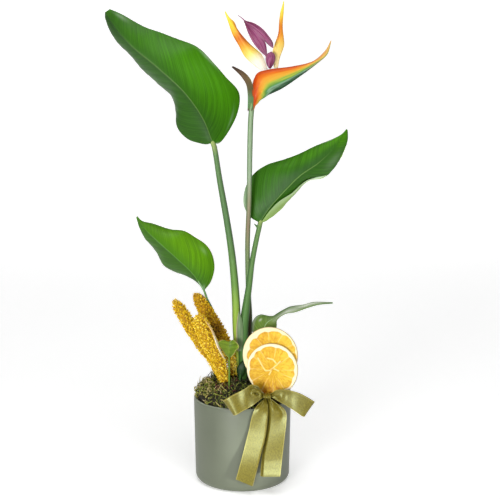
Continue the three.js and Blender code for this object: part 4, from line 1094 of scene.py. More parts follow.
places, facts = tube([[-5, -6, 611.5], [0, -6, 608], [6, -6.6, 602]], [0.35, 0.9], 24, 12)
thread = sheet_of("arrow_thread", places, rolled=True, along=facts["along"], across=facts["right"],
                  blush=0 * facts["right"])
smooth(thread)
pick(lobes[0])
for part in (lobes[1], thread):
    part.select_set(True)
bpy.ops.object.join()
arrow = bpy.context.object
arrow.name = "arrow_petal_pair"
finish_piece(arrow, petal_skin, "petal", "arrow_petals")

# %% [markdown]
# The bract is the small pointed leaf behind the spathe: green at its foot, brown and dry at its tip.
# %% Bract
bract = petal(
    "bract_blade",
    [
        [[13, -6.2, 491.75], [14.5, -7, 505], [14.5, -8.5, 519], [10.5, -8.5, 532], [2, -5.5, 541],
         [-11, -2.5, 548]],
        [[7.6, -2, 491.75], [7.8, -2, 512], [5.8, -2, 525], [-1.2, -2, 536], [-13, -2, 547.5]],
        [[13, 2.2, 491.75], [14.5, 3, 505], [14.5, 4.5, 519], [10.5, 4.5, 532], [2, 1.5, 541],
         [-11, -1.5, 548]],
    ],
    columns=(24, 24), rows=80, arches=(1.5, 1.5), ridge=1.3, blush=[(0.55, -0.9, 0.2, 0.5, 0.5)],
)
bract_skin = petal_finish(
    "drying_bract_skin",
    [(0, "#4a3a2a"), (1, "#2e211b"), (0.03, "#4f4630"), (0.06, "#53794a"), (0.25, "#577950"),
     (0.42, "#4c4c2c"), (0.6, "#5a472c"), (0.78, "#54402c"), (0.9, "#43342b")],
    "#836e50", "#4b3a30", streak=0.35, gloss=0.5,
)
finish_piece(bract, bract_skin, "bract", "bract")

# %% [markdown]
# The spathe changes colour from its keel to its lips: dark green, pale grey-green where its wax catches
# the light, gold, then orange, with a red line along the lips. Near the stem the orange comes further down,
# and towards the tip all of it fades to straw. The fact "ripe" is the height on the boat, shifted in that
# way, and one colour ramp reads it.
# %% Spathe
SPATHE = {"rows": 120, "around": 72}
keel = course([[15, -2, 491.5], [20, -2, 501], [33, -2, 511], [50, -2, 519], [74, -2, 535], [97, -2, 552],
               [109, -2, 563], [114, -2, 580]])
lips = course([[14, -2, 492], [13.5, -2, 523], [19, -2, 539], [33, -2, 544], [64, -2, 548], [91, -2, 555],
               [106, -2, 568], [113, -2, 580.5]])
half_width = [1.5, 6, 9, 9.5, 9, 8, 6.5, 5, 3.5, 2, 0.8]
side = [[0.45, 0.1, 0], [0.8, 0.32, 0], [1, 0.6, 0], [0.85, 0.86, 0], [0.35, 1, 0]]
mirrored = [[-across, up, 0] for across, up, _ in reversed(side)]
outline = course([[0, 0, 0], *side, [0, 0.9, 0], *mirrored, [0, 0, 0]])
section = outline(np.linspace(0, 1, SPATHE["around"] + 1))
section[-1] = section[0]
t = np.linspace(0, 1, SPATHE["rows"] + 1)
low, high = keel(t)[:, None], lips(t)[:, None]
up = section[None, :, 1:2]
places = low + (high - low) * up
places[:, :, 1] += section[None, :, 0] * read_list(half_width, t)[:, None]
lumps = np.array([[noise.noise(Vector(place) / 5.5) for place in row] for row in places])
lumps = lumps * (1 - ease(t, 0.12, 0.4))[:, None]
places[:, :, 0] -= 1.3 * lumps
places[:, :, 1] -= 0.9 * lumps * np.sign(section[None, :, 0])
up = np.broadcast_to(section[None, :, 1], places.shape[:2])
along = np.broadcast_to(t[:, None], places.shape[:2])
ripe = up + 0.55 * (1 - ease(along, 0.02, 0.3)) + 0.07 * ease(along, 0.2, 0.5) + 0.2 * ease(along, 0.72, 0.95)
spathe = sheet_of("spathe_boat", places, rolled=True, along=along, ripe=np.clip(ripe, 0, 1), up=up)
smooth(spathe)
spathe_skin, tree, shader = new_material(
    "waxy_spathe_skin", Roughness=0.38, IOR=1.45, Specular_IOR_Level=0.16
)
fact = {key: add_node(tree, "Attribute", attribute_name=key).outputs["Fac"]
        for key in ("along", "ripe", "up")}
where = add_node(tree, "CombineXYZ", {"X": fact["up"], "Y": fact["along"]})
stretched = add_node(tree, "Mapping", {"Vector": where.outputs["Vector"], "Scale": (6.0, 2.6, 1.0)})
mottle = add_node(tree, "TexNoise", {"Vector": stretched.outputs["Vector"], "Scale": 1.2, "Detail": 4.0})
shift = add_node(tree, "MapRange", {"Value": mottle.outputs["Fac"], 1: 0.0, 2: 1.0, 3: -0.2, 4: 0.2})
ripeness = add_node(tree, "Math", {0: fact["ripe"], 1: shift.outputs[0]}, operation="ADD")
skin = add_node(
    tree, "ValToRGB", {"Fac": ripeness.outputs[0]},
    stops=[(0, "#163319"), (1, "#b03c0e"), (0.13, "#1d4424"), (0.23, "#7d9c80"), (0.31, "#4a8440"),
           (0.44, "#9aa83c"), (0.55, "#cb9c34"), (0.7, "#cf8628"), (0.85, "#c65c10")],
)
tipping = add_node(tree, "MapRange", {"Value": fact["along"], 1: 0.62, 2: 0.95, 3: 0.0, 4: 0.75})
tipped = add_node(tree, "Mix", {0: tipping.outputs[0], 6: skin.outputs["Color"], 7: colour("#ccb068")},
                  data_type="RGBA")
lip_line = add_node(tree, "MapRange", {"Value": fact["up"], 1: 0.94, 2: 0.99, 3: 0.0, 4: 0.7})
lined = add_node(tree, "Mix", {0: lip_line.outputs[0], 6: tipped.outputs[2], 7: colour("#a8502e")},
                 data_type="RGBA")
tree.links.new(lined.outputs[2], shader.inputs["Base Color"])
relief = add_node(tree, "Bump", {"Height": mottle.outputs["Fac"], "Strength": 0.2, "Distance": 0.0006})
tree.links.new(relief.outputs["Normal"], shader.inputs["Normal"])
finish_piece(spathe, spathe_skin, "spathe", "spathe")

# %% [markdown]
# ## Golden foxtail heads
#
# A foxtail millet head is a stem packed with small clusters, and each cluster is a bunch of grains about
# 2 mm long. A brown core carries the clusters. They follow the golden angle, as they do in nature, so no
# rows show. One grain, a stretched ball of twenty faces, is modelled once and copied.
# %% One grain
bpy.ops.object.select_all(action="DESELECT")
bpy.ops.mesh.primitive_ico_sphere_add(subdivisions=1, radius=1)
grain = bpy.context.object
bpy.ops.transform.resize(value=(0.62, 0.62, 1.15))
bpy.ops.object.transform_apply(scale=True)
grain_points = np.array([vertex.co for vertex in grain.data.vertices])
grain_faces = np.array([list(face.vertices) for face in grain.data.polygons])
bpy.data.objects.remove(grain)
print("grain faces:", len(grain_faces))


def unit(vectors):
    return vectors / np.maximum(np.linalg.norm(vectors, axis=-1, keepdims=True), 1e-9)


def copies_of(name, centres, axes, sizes, tones):
    """The grain copied to each centre, pointing along its axis, in one mesh. All in metres."""
    across = unit(np.cross(axes, np.array([0.2, 0.9, 0.37])))
    other = np.cross(axes, across)
    turned = (
        grain_points[None, :, 0:1] * across[:, None] + grain_points[None, :, 1:2] * other[:, None]
        + grain_points[None, :, 2:3] * axes[:, None]
    )
    points = centres[:, None] + turned * sizes[:, None, None]
    faces = grain_faces[None] + (np.arange(len(centres)) * len(grain_points))[:, None, None]
    return toned_piece(name, points, faces.reshape(-1, 3).tolist(), tones)


# %% [markdown]
# Dry grain husks are dull and gold. Grains deep in a cluster get a darker tone, a painted shade in the
# gaps between the clusters. Each grain has its own tone.
# %% Grain husk
husk, tree, shader = new_material("dry_grain_husk", Roughness=0.7, Specular_IOR_Level=0.2)
tone = add_node(tree, "Attribute", attribute_name="tone").outputs["Fac"]
husk_tone = add_node(
    tree, "ValToRGB", {"Fac": tone},
    stops=[(0, "#5c3f06"), (1, "#ffea62"), (0.3, "#a57509"), (0.55, "#cd9f0c"), (0.8, "#e5c220")],
)
tree.links.new(husk_tone.outputs["Color"], shader.inputs["Base Color"])
core_look, tree, shader = new_material("dry_grain_stem", Roughness=0.8)
where = add_node(tree, "TexCoord").outputs["Object"]
specks = add_node(tree, "TexNoise", {"Vector": where, "Scale": 500.0, "Detail": 2.0})
core_tone = add_node(tree, "ValToRGB", {"Fac": specks.outputs["Fac"]},
                     stops=[(0.3, "#94690c"), (0.7, "#c0951a")])
tree.links.new(core_tone.outputs["Color"], shader.inputs["Base Color"])

# %% Foxtail heads
GRAIN = {"clusters": 600, "in_cluster": 7, "size": 0.98, "spread": 1.5, "length": 3.7,
         "golden_angle": 2.399963}
HEADS = {
    "foxtail_left": {
        "path": [[-90, 0, 243], [-80, -1, 227], [-67, -2, 206], [-53, -5, 186], [-40, -8, 168],
                 [-31, -11, 151], [-27, -12, 138], [-27, -12, FOOT]],
        "share": 0.68, "radii": [5, 6.8, 7.8, 8.6, 8.8, 8.5, 7.3, 5.6, 3.4], "seed": 11, "tone": 0.68,
    },
    "foxtail_middle": {
        "path": [[-57, -30, 230], [-52, -29, 214], [-44, -28, 195], [-34, -27, 176], [-28, -26, 158],
                 [-24, -25, 143], [-23, -25, FOOT]],
        "share": 0.6, "radii": [6, 8.6, 9.8, 10.4, 10.6, 10, 8.4, 6.6, 4.4], "seed": 12, "tone": 0.72,
    },
    "foxtail_back": {
        "path": [[-64, 12, 249], [-56, 11, 239], [-46, 9, 222], [-34, 5, 202], [-28, 3, 191], [-21, -1, 177],
                 [-15, -5, 163], [-12.5, -6, 142], [-12, -6, FOOT]],
        # The back head's lower tone and its dark patch high up are painted shade, where it stands behind the
        # others; the second patch makes it paler low down.
        "share": 0.64, "radii": [5.5, 7.6, 8.8, 9.4, 9.4, 8.8, 6.6, 4.4, 3.4], "seed": 13, "tone": 0.55,
        "patches": [(-37.4, 203.8, 8, -0.8), (-15, 155, 14, 0.6)],
    },
}


def foxtail(name, path, share, radii, seed, tone, patches=()):
    """The core and stem of a head, and its grains, as two pieces. The head rounds off over its first 7 %."""
    def thick(share_down):
        return read_list(radii, share_down) * np.sqrt(np.interp(share_down, [0, 0.07], [0.06, 1]))

    fine = np.linspace(0, 1, 400)
    head = fine[fine <= share] / share
    area = np.cumsum(thick(head) + 1.5)
    clusters = GRAIN["clusters"]
    at = np.interp((np.arange(clusters) + 0.5) / clusters, area / area[-1], head)
    follow = course(path)
    t = at * share
    centre = follow(t)
    along = unit(follow(np.minimum(t + 0.002, 1)) - follow(np.maximum(t - 0.002, 0)))
    right = unit(np.array([1.0, 0, 0]) - along * along[:, :1])
    back = np.cross(along, right)
    draw = np.random.default_rng(seed)
    angle = np.arange(clusters) * GRAIN["golden_angle"] + draw.normal(0, 0.12, clusters)
    outward = np.cos(angle)[:, None] * right + np.sin(angle)[:, None] * back
    radius = thick(at)
    reach = draw.uniform(0.85, 1.12, clusters) * np.interp(at, [0, 0.12], [0.45, 1])
    axis = unit(outward - 0.75 * along + draw.normal(0, 0.28, (clusters, 3)))
    base = centre + outward * (radius * 0.78)[:, None]
    per = GRAIN["in_cluster"]
    out = (np.arange(per) + 0.5) / per
    sideways = unit(draw.normal(size=(clusters, per, 3)))
    spots = (
        base[:, None] + axis[:, None] * (out * GRAIN["length"])[None, :, None] * reach[:, None, None]
        + sideways * GRAIN["spread"] * (1 - 0.6 * out)[None, :, None]
    )
    axes = unit(axis[:, None] + sideways * 0.8)
    sizes = GRAIN["size"] * draw.uniform(0.8, 1.2, (clusters, per))
    sizes = sizes * np.interp(at, [0, 0.08], [0.75, 1])[:, None]
    # Grains near the core get a darker tone: painted shade in the gaps.
    tones = tone + 0.28 * (out[None] - 0.5)
    tones = tones + draw.normal(0, 0.1, (clusters, 1)) + draw.normal(0, 0.08, (clusters, per))
    for x, z, wide, amount in patches:
        tones += amount * bell(np.hypot(spots[..., 0] - x, spots[..., 2] - z) / wide)
    grains = copies_of(name + "_grains", spots.reshape(-1, 3) * MM, axes.reshape(-1, 3), sizes.ravel() * MM,
                       np.clip(tones, 0, 1).ravel())
    finish_piece(grains, husk, "grain", name)
    stem_t = np.linspace(0, 1, 60)
    core = np.where(stem_t <= share, thick(np.minimum(stem_t / share, 1)) * 0.82, 1.6)
    places, _ = tube(path, core, 59, 24)
    stem = sheet_of(name + "_stem", places, rolled=True)
    smooth(stem)
    finish_piece(stem, core_look, "grain", name)


for name, head in HEADS.items():
    foxtail(name, **head)


# %% [markdown]
# A pale dry leaf lies along the right side of the middle head. It is a narrow sheet with a midrib.
# %% Dry leaf on the middle head
dry_leaf = petal(
    "foxtail_dry_leaf",
    [
        [[-54.4, -32, 230.5], [-47.2, -34, 221], [-40.6, -35, 211], [-35.4, -36, 197.3],
         [-31.4, -36.5, 186.3], [-25, -35, 173.7]],
        [[-54.3, -33, 231], [-46.4, -35, 221.6], [-39.6, -36, 211.6], [-34.2, -37, 197.6],
         [-30.2, -37.5, 186.5], [-24, -36, 173.8]],
        [[-54.2, -32, 231.5], [-45.6, -33, 222], [-38.6, -33, 212], [-33, -34, 198], [-29, -34.5, 186.7],
         [-23, -34, 174]],
    ],
    columns=(6, 6), rows=60, arches=(0.2, 0.2), thickness=0.4, ridge=0.6,
)
dry_leaf_skin = petal_finish("dry_straw_leaf_skin",
                             [(0, "#c79a4a"), (1, "#e0caa0"), (0.4, "#dcc08a"), (0.65, "#f0e6d0")], "#d9a98c",
                             "#c9a06c", streak=0.4, gloss=0.6)
finish_piece(dry_leaf, dry_leaf_skin, "grain")

# %% [markdown]
# ## Dried orange slices
#
# Each slice is cut across the fruit and dried: a thin rind, a ring of white pith, and flesh in segments
# between pale membranes. Drying sinks the flesh, so the membranes and the pith stand proud. The slice is
# one sheet that runs from the middle of its front over the rind to the middle of its back. Facts say
# where there is pith, membrane and rind, and how dark the flesh is.
# %% Slice shape
SLICE = {"half": 2.5, "rings": 46, "around": 270, "turn": -14, "lean": -5, "rim": 3.6, "round": 1.6}


def near_lines(x, z, lines, width):
    """1 on the lines of a drawing in millimetres, falling to 0 a little beside them."""
    closest = np.full(x.shape, 1e9)
    for line in lines:
        for (ax, az), (bx, bz) in zip(line, line[1:]):
            run_x, run_z = bx - ax, bz - az
            share = ((x - ax) * run_x + (z - az) * run_z) / (run_x**2 + run_z**2)
            share = np.clip(share, 0, 1)
            closest = np.minimum(closest, np.hypot(x - ax - share * run_x, z - az - share * run_z))
    return bell(closest / width)


def orange_slice(name, radius, position, warp, cuts, pith_lines, seed, stands_for, scallop=1.5,
                 off_centre=0.0, low=0.0, cream=1.0):
    """A dried slice whose segments meet at the cuts, in degrees, with more pith lines drawn on its face."""
    rings, around, thick = SLICE["rings"], SLICE["around"], SLICE["half"]
    out = np.linspace(0, 1, rings + 1) ** 0.85 * radius
    out[0] = 0.05
    r = np.concatenate([out, out[::-1][1:]])[:, None]
    side = np.concatenate([-np.ones(rings + 1), np.ones(rings)])[:, None]
    angle = np.linspace(0, 2 * math.pi, around + 1)[None]
    x, z = r * np.cos(angle), r * np.sin(angle)
    cut = np.radians(cuts)
    off = np.abs(np.arctan2(np.sin(angle[..., None] - cut), np.cos(angle[..., None] - cut)))
    nearest = off.min(axis=2)
    wobble = np.array([noise.noise(Vector((3 * math.cos(a), 3 * math.sin(a), seed))) for a in angle[0]])[None]
    flesh_edge = radius - SLICE["rim"] - scallop * bell(nearest / 0.12) - 0.9 * wobble
    flesh_edge = flesh_edge + off_centre * np.cos(angle + 0.3) + low * np.maximum(0, np.cos(angle + 1.8)) ** 2
    pith = ease(r, flesh_edge - 0.35, flesh_edge + 0.35)
    in_flesh = 1 - pith
    cut_width = 0.35 + 0.5 * ease(r, radius * 0.6, radius - 4)
    membrane = bell(nearest * r / cut_width) * ease(r, radius * 0.28, radius * 0.5) * in_flesh
    drawn = near_lines(x, z, pith_lines, 0.75) * in_flesh if pith_lines else 0 * x
    sacs = np.array([
        noise.fractal(Vector((math.cos(a) * 9, math.sin(a) * 9, seed + q / 5)), 0.8, 2.0, 3)
        for q in r[:, 0] for a in angle[0]
    ]).reshape(x.shape)
    half = thick * (0.62 + 0.2 * ease(r, radius * 0.3, radius * 0.9) + 0.12 * (sacs - 0.2))
    half = half + thick * 0.22 * np.maximum(membrane * 0.5, drawn)
    half = half * in_flesh + pith * thick * 0.93
    half = half * np.sqrt(np.clip(1 - ((r - radius + SLICE["round"]) / SLICE["round"]).clip(0) ** 2, 0, 1))
    depth = side * half + warp * np.sin(2 * angle) * (r / radius) ** 2
    local = np.stack([x, depth, z], -1)
    lean, turn = math.radians(SLICE["lean"]), math.radians(SLICE["turn"])
    tilt = np.array([[1, 0, 0], [0, math.cos(lean), -math.sin(lean)], [0, math.sin(lean), math.cos(lean)]])
    spin = np.array([[math.cos(turn), -math.sin(turn), 0], [math.sin(turn), math.cos(turn), 0], [0, 0, 1]])
    places = local @ (spin @ tilt).T + np.array(position)
    dark = 0.43 + 0.45 * (sacs - 0.25) + 0.25 * bell((r - flesh_edge) / 1.4) - 0.25 * ease(x, -5, 20)
    dark = dark + 0.38 * ease(-z, 0.35 * radius, 0.8 * radius)
    piece = sheet_of(
        name, places, rolled=True, pith=pith * cream,
        membrane=np.clip(np.maximum(membrane * 0.4, drawn), 0, 1), dark=np.clip(dark, 0, 1),
        rind=ease(r, radius - 0.75, radius - 0.3) + 0 * x, right=np.cos(angle) + 0 * r,
        up=np.sin(angle) + 0 * r, out=r + 0 * x,
    )
    smooth(piece, 60)
    finish_piece(piece, orange_look, "orange", stands_for)


# %% [markdown]
# Dried flesh is a glassy amber, where the juice sacs show as fine rays about 1 mm wide. The pith is matte
# and cream, and the rind dries to a thin tan line.
# %% Dried orange finish
orange_look, tree, shader = new_material(
    "dried_orange_flesh_and_pith", Roughness=0.5, IOR=1.45, Specular_IOR_Level=0.25,
    Subsurface_Weight=0.1, Subsurface_Radius=(1.0, 0.5, 0.15), Subsurface_Scale=0.001,
)
fact = {key: add_node(tree, "Attribute", attribute_name=key).outputs["Fac"]
        for key in ("pith", "membrane", "dark", "rind", "right", "up", "out")}
where = add_node(tree, "CombineXYZ", {"X": fact["right"], "Y": fact["up"], "Z": fact["out"]})
stretched = add_node(tree, "Mapping", {"Vector": where.outputs["Vector"], "Scale": (9.0, 9.0, 0.5)})
rays = add_node(tree, "TexNoise", {"Vector": stretched.outputs["Vector"], "Scale": 1.6, "Detail": 4.0})
ray_shift = add_node(tree, "MapRange", {"Value": rays.outputs["Fac"], 1: 0.25, 2: 0.75, 3: -0.08, 4: 0.08})
flesh_place = add_node(tree, "Math", {0: fact["dark"], 1: ray_shift.outputs[0]}, operation="ADD")
flesh = add_node(
    tree, "ValToRGB", {"Fac": flesh_place.outputs[0]},
    stops=[(0, "#dcb832"), (1, "#a5620f"), (0.3, "#d2a21f"), (0.6, "#c79216"), (0.82, "#b57a14")],
)
veined = add_node(tree, "Mix", {0: fact["membrane"], 6: flesh.outputs["Color"], 7: colour("#f2dc94")},
                  data_type="RGBA")
pithy = add_node(tree, "Mix", {0: fact["pith"], 6: veined.outputs[2], 7: colour("#efe4bb")}, data_type="RGBA")
rinded = add_node(tree, "Mix", {0: fact["rind"], 6: pithy.outputs[2], 7: colour("#c4a26c")}, data_type="RGBA")
tree.links.new(rinded.outputs[2], shader.inputs["Base Color"])
relief = add_node(tree, "Bump", {"Height": rays.outputs["Fac"], "Strength": 0.4, "Distance": 0.0006})
tree.links.new(relief.outputs["Normal"], shader.inputs["Normal"])

# %% The two slices
FRONT_PITH = [
    [(-18.8, 14.0), (-11.4, 1.5), (-8.4, -1.9), (-2.4, -0.9), (5.8, 6.3), (10.4, 11.4)],
    [(-6.5, 14.7), (0.8, 13.3), (5.2, 8.8)],
    [(-1.0, -1.5), (-3.6, -6.5)],
    [(3.0, 1.5), (8.5, -1.0)],
]
orange_slice("dried_orange_slice_front", 34, (39, -45, 161), 0.5,
             [2, 40, 81, 123, 148, 181, 212, 245, 275, 305, 341], FRONT_PITH, 3.0, "orange_slice_front",
             low=3.0)
orange_slice("dried_orange_slice_back", 36.8, (36.4, -37, 178), 0.3,
             [10, 28, 60, 95, 130, 165, 200, 240, 280, 320], [], 9.0, "orange_slice_back", scallop=2.2,
             off_centre=3.0, cream=0.86)

# %% [markdown]
# A thin wooden pick holds the two slices. It is birch, round and cut to a point.
# %% Wooden pick
places, facts = tube([[37, -31.6, 200], [37, -31.6, 196], [37, -31.6, 190], [37, -31.6, FOOT]],
                     [0.25, 1.1, 1.5, 1.5, 1.5, 1.5, 1.5, 1.5, 1.5, 1.5], 60, 20)
wooden_pick = sheet_of("birch_pick", places, rolled=True, **facts)
smooth(wooden_pick)
birch, tree, shader = new_material("turned_birch", Roughness=0.65)
where = add_node(tree, "TexCoord").outputs["Object"]
stretched = add_node(tree, "Mapping", {"Vector": where, "Scale": (900.0, 900.0, 40.0)})
grain_lines = add_node(tree, "TexNoise", {"Vector": stretched.outputs["Vector"], "Scale": 1.0, "Detail": 3.0})
birch_tone = add_node(tree, "ValToRGB", {"Fac": grain_lines.outputs["Fac"]},
                      stops=[(0.3, "#a98555"), (0.7, "#cfae7c")])
tree.links.new(birch_tone.outputs["Color"], shader.inputs["Base Color"])
finish_piece(wooden_pick, birch, "wood", "wooden_pick")

# %% [markdown]
# ## The satin bow
#
# The bow is tied from one satin ribbon, 22 mm wide: two loops, two tails and a knot. Each part is a strip
# between its two edges, with pleats where the knot gathers it. A strip is set by its edges, because satin
# folds stiffly, in a few broad curves.
# %% Ribbon strip
RIBBON = {"width": 0.022, "across": 22, "columns": 42, "thickness": 0.3, "lean": 2.0}


def ribbon(name, edge, other, rows, gathers, stands_for, pleat=1.3, count=2.5,
           profile=(0, 0), folds=(), roll=None):
    """A strip between two edges. Gathers pleat its ends, and the profile and folds make it stand out."""
    t = np.linspace(0, 1, rows + 1)
    share = np.linspace(0, 1, RIBBON["columns"] + 1)
    one, two = (course(points)(t) + np.array([0, RIBBON["lean"], 0]) for points in (edge, other))
    flat = one[:, None] * (1 - share[:, None]) + two[:, None] * share[:, None]
    gathered = sum(bell((t - end) / reach) for end, reach in gathers)[:, None]
    lift = pleat * gathered * np.sin(2 * math.pi * count * share + 0.6)
    places = flat + normals_of(flat) * lift[..., None]
    near = bell((t[:, None] - np.linspace(0, 1, len(profile))) / 0.075)
    outward = (near @ np.array(profile, float) / near.sum(axis=1))[:, None] + 0 * share
    for along, across, long, wide, height in folds:
        far = ((t[:, None] - along) / long) ** 2 + ((share - across) / wide) ** 2
        outward = outward + height * np.exp(-far)
    places[..., 1] -= outward
    steps = np.linalg.norm(np.diff((one + two) / 2, axis=0), axis=1)
    reach = np.concatenate([[0], np.cumsum(steps)])
    piece = sheet_of(name, places, run=reach[:, None] + 0 * share,
                     over=share * RIBBON["across"] + 0 * t[:, None])
    thicken(piece, RIBBON["thickness"])
    if roll:
        pick(piece)
        roll.select_set(True)
        bpy.ops.object.join()
    smooth(piece, 60)
    finish_piece(piece, satin, "ribbon", stands_for)
    print(f"{name}: {reach[-1]:.0f} mm long, {np.linalg.norm(one - two, axis=1).mean():.1f} mm wide")
    return piece


# %% [markdown]
# Satin floats its yarns on the face, so it is smooth and shines along its folds. The yarns, 0.1 mm apart,
# are too fine to show and are drawn as a grain of 1 to 2 mm. A narrow selvedge runs along each edge.
# %% Satin ribbon
satin, tree, shader = new_material(
    "woven_satin_ribbon", Roughness=0.34, IOR=1.5, Specular_IOR_Level=0.77, Specular_Tint=colour("#f3ffc0"),
    Sheen_Weight=0.15, Sheen_Tint=colour("#c9b64c"), Sheen_Roughness=0.35,
)
fact = {key: add_node(tree, "Attribute", attribute_name=key).outputs["Fac"] for key in ("run", "over")}
where = add_node(tree, "CombineXYZ", {"X": fact["over"], "Y": fact["run"]})
stretched = add_node(tree, "Mapping", {"Vector": where.outputs["Vector"], "Scale": (1.0, 0.6, 1.0)})
yarns = add_node(tree, "TexNoise",
                 {"Vector": stretched.outputs["Vector"], "Scale": 0.6, "Detail": 5.0, "Roughness": 0.75})
yarn_tone = add_node(tree, "ValToRGB", {"Fac": yarns.outputs["Fac"]},
                     stops=[(0.33, "#493f08"), (0.67, "#7a6e20")])
from_middle = add_node(tree, "Math", {0: fact["over"], 1: RIBBON["across"] / 2}, operation="SUBTRACT")
distance = add_node(tree, "Math", {0: from_middle.outputs[0]}, operation="ABSOLUTE")
selvedge = add_node(tree, "MapRange", {"Value": distance.outputs[0], 1: 9.9, 2: 10.3, 3: 0.0, 4: 0.8})
edged = add_node(tree, "Mix", {0: selvedge.outputs[0], 6: yarn_tone.outputs["Color"], 7: colour("#948840")},
                 data_type="RGBA")
tree.links.new(edged.outputs[2], shader.inputs["Base Color"])
relief = add_node(tree, "Bump", {"Height": yarns.outputs["Fac"], "Strength": 0.22, "Distance": 0.0005})
tree.links.new(relief.outputs["Normal"], shader.inputs["Normal"])

# %% [markdown]
# The upper edge of the left loop is pinched into a small roll beside the knot. Seen from the front it is a
# long ring round a dark hollow, so it is a tube bent into a ring and joined to the loop.
# %% Rolled edge
ROLL = {"centre": (17.6, -74, 137.4), "long": 5.6, "high": 3.5, "dip": 29}
round_ring = np.linspace(0, 2 * math.pi, 25)[:, None]
dip = math.radians(ROLL["dip"])
ring_path = (
    np.array(ROLL["centre"])
    + ROLL["long"] * np.cos(round_ring) * np.array([math.cos(dip), 0.12, -math.sin(dip)])
    + ROLL["high"] * np.sin(round_ring) * np.array([math.sin(dip), 0.35, math.cos(dip)])
)
places, facts = tube(ring_path, [1.6, 2.3, 2.7, 2.9, 3.0, 2.9, 2.6, 2.2, 1.6], 72, 24)
rolled_edge = sheet_of("rolled_edge", places, rolled=True, run=facts["along"] * 28,
                       over=RIBBON["across"] / 2 + 2 * facts["right"])

# %% Loops
ribbon(
    "bow_loop_left",
    [[31, -56, 130.6], [27, -61, 133], [20, -67, 145], [12, -70, 147.5], [4, -71.3, 142.8], [-4, -72.3, 138],
     [-10, -73.2, 135], [-16, -73.8, 131.6], [-20, -73.4, 129.2], [-23.3, -71.5, 127], [-24.6, -69, 126],
     [-22, -67, 127.3], [-5, -64, 136], [12, -59, 141], [20, -56, 139], [27, -54.5, 131.5], [31, -54.6, 130]],
    [[31, -56, 126.6], [27, -60, 127.4], [18, -69, 123], [8, -75, 118], [2, -76.6, 115.2], [-2, -77.5, 113],
     [-5, -78, 111.3], [-8, -77.8, 109.7], [-10.1, -75.6, 108.6], [-10.6, -72.6, 107.8], [-8.5, -70, 108.3],
     [-1, -67.5, 111.4], [7, -64.5, 115], [18, -58, 122], [27, -54.5, 127.5], [31, -54.6, 127]],
    170, [(0, 0.05), (1, 0.07)], "ribbon_loop_left",
    folds=[(0.29, 0.35, 0.07, 0.5, 1.2), (0.15, 0.8, 0.045, 0.3, -1.0), (0.38, 0.5, 0.045, 0.9, -0.5),
           (0.19, 0.4, 0.06, 0.3, 2.0), (0.19, 0.34, 0.03, 0.09, -7.0),
           (0.075, 0.14, 0.014, 0.09, -3.0)],
    roll=rolled_edge,
)
ribbon(
    "bow_loop_right",
    [[33, -56, 130.6], [37, -58.5, 132.5], [44, -62.5, 138], [55, -66, 139.5], [73, -69, 135.5],
     [85, -70.6, 129], [91, -70, 125.3], [93, -68, 124], [91, -65.5, 125], [73, -61, 134], [55, -57, 137],
     [44, -55.5, 135], [37, -54.5, 131.5], [33, -54.6, 130]],
    [[33, -56, 126.6], [37, -58, 127], [50, -63, 121.5], [63, -68.5, 115.3], [72, -71.5, 109.5],
     [76.5, -72.2, 106.5], [79.6, -71, 105.3], [80, -68.5, 106], [77, -66.5, 107.2], [66, -64.5, 113],
     [56, -61.5, 118.4], [48, -57, 122], [37, -54.5, 127.5], [33, -54.6, 127]],
    170, [(0, 0.07), (1, 0.07)], "ribbon_loop_right",
    folds=[(0.17, 0.6, 0.03, 0.25, 1.5), (0.12, 0.8, 0.03, 0.2, -0.9), (0.22, 0.3, 0.05, 0.35, -1.2),
           (0.33, 0.8, 0.08, 0.5, 0.7), (0.42, 0.4, 0.07, 0.8, -0.5)],
)

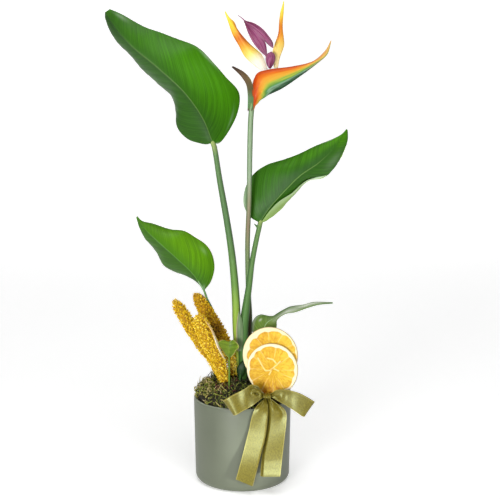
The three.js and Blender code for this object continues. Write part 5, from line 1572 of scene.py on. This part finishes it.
# %% Tails
ribbon(
    "bow_tail_left",
    [[30, -57.4, 127], [28, -59.1, 125.2], [18, -63, 117], [13, -66.5, 106], [9, -67, 88], [2, -67, 60],
     [-8, -68.5, 22]],
    [[32, -57.4, 127], [31.5, -59.3, 125], [33.5, -64, 116], [33, -67.5, 103], [30, -72, 78], [24, -72.5, 55],
     [14, -70.5, 13]],
    120, [(0, 0.1)], "ribbon_tail_left",
    profile=[0, 0.8, 1.2, 1.2, 1.4, 2.3, 3.6, 4.8, 5.2, 4.6, 3.4],
    folds=[(0.14, 0.3, 0.085, 0.5, 3.0), (0.2, 1.0, 0.12, 0.3, 1.6), (0.5, 1.03, 0.6, 0.05, -8)],
)
ribbon(
    "bow_tail_right",
    [[32, -57.4, 127], [32.6, -59.3, 125], [33.6, -63, 117], [33.2, -65.5, 95], [30.8, -66, 78],
     [25.6, -66.5, 51], [23.6, -65, 26]],
    [[34, -57.4, 127], [37, -59.1, 125.4], [49, -63, 118], [56, -66, 111], [57, -68, 103], [55, -69.5, 82],
     [49, -69.5, 28]],
    120, [(0, 0.1)], "ribbon_tail_right",
    profile=[0, 0.6, 0.9, 0.7, 1.2, 2.0, 2.4, 2.7, 3.5, 5.8, 9.0],
    folds=[(0.16, 0.4, 0.12, 0.24, 2.8), (0.2, 0.82, 0.1, 0.16, -1.8), (0.12, 1.02, 0.07, 0.1, 2.4),
           (0.45, 0.0, 0.6, 0.075, -6)],
)

# %% [markdown]
# The knot is a short piece of the same ribbon, wound round the middle and gathered to 9 mm, so its 22 mm
# lie in pleats that run round it, shallow in front and deep behind.
# %% Knot
KNOT = {
    "centre": (32, -57.3, 129.8), "radii": (4.3, 7.4, 3.7), "pleats": 3, "deep": 2.0, "rounded": 0.9,
    "run_radius": 4.3,
}
turns = np.linspace(-0.15, 2 * math.pi + 0.15, 73)[:, None]
share = np.linspace(0, 1, RIBBON["columns"] + 1)[None]
wide, deep, high = KNOT["radii"]
behind = 0.58 + 0.42 * np.cos(turns)
pleat = KNOT["deep"] * behind * (np.cos(2 * math.pi * KNOT["pleats"] * share) - 1)
pleat = pleat - KNOT["rounded"] * np.abs(2 * share - 1) ** 3
overlap = 0.35 * (turns / (2 * math.pi) - 0.5)
places = np.stack([
    KNOT["centre"][0] + wide * (2 * share - 1) + 0 * turns,
    KNOT["centre"][1] + (deep + pleat + overlap) * np.cos(turns),
    KNOT["centre"][2] + (high + pleat + overlap) * np.sin(turns),
], -1)
knot = sheet_of("bow_knot", places, run=turns * KNOT["run_radius"] + 0 * share,
                over=share * RIBBON["across"] + 0 * turns)
thicken(knot, RIBBON["thickness"])
smooth(knot, 60)
finish_piece(knot, satin, "ribbon", "ribbon_knot")

# %% [markdown]
# ## Size and end
#
# The triangles that the finished pieces add are counted. The ribbon, which is fabric, stands out furthest.
# %% Finish
print("triangles added in all:", sum(count_triangles(piece) for piece in finished))
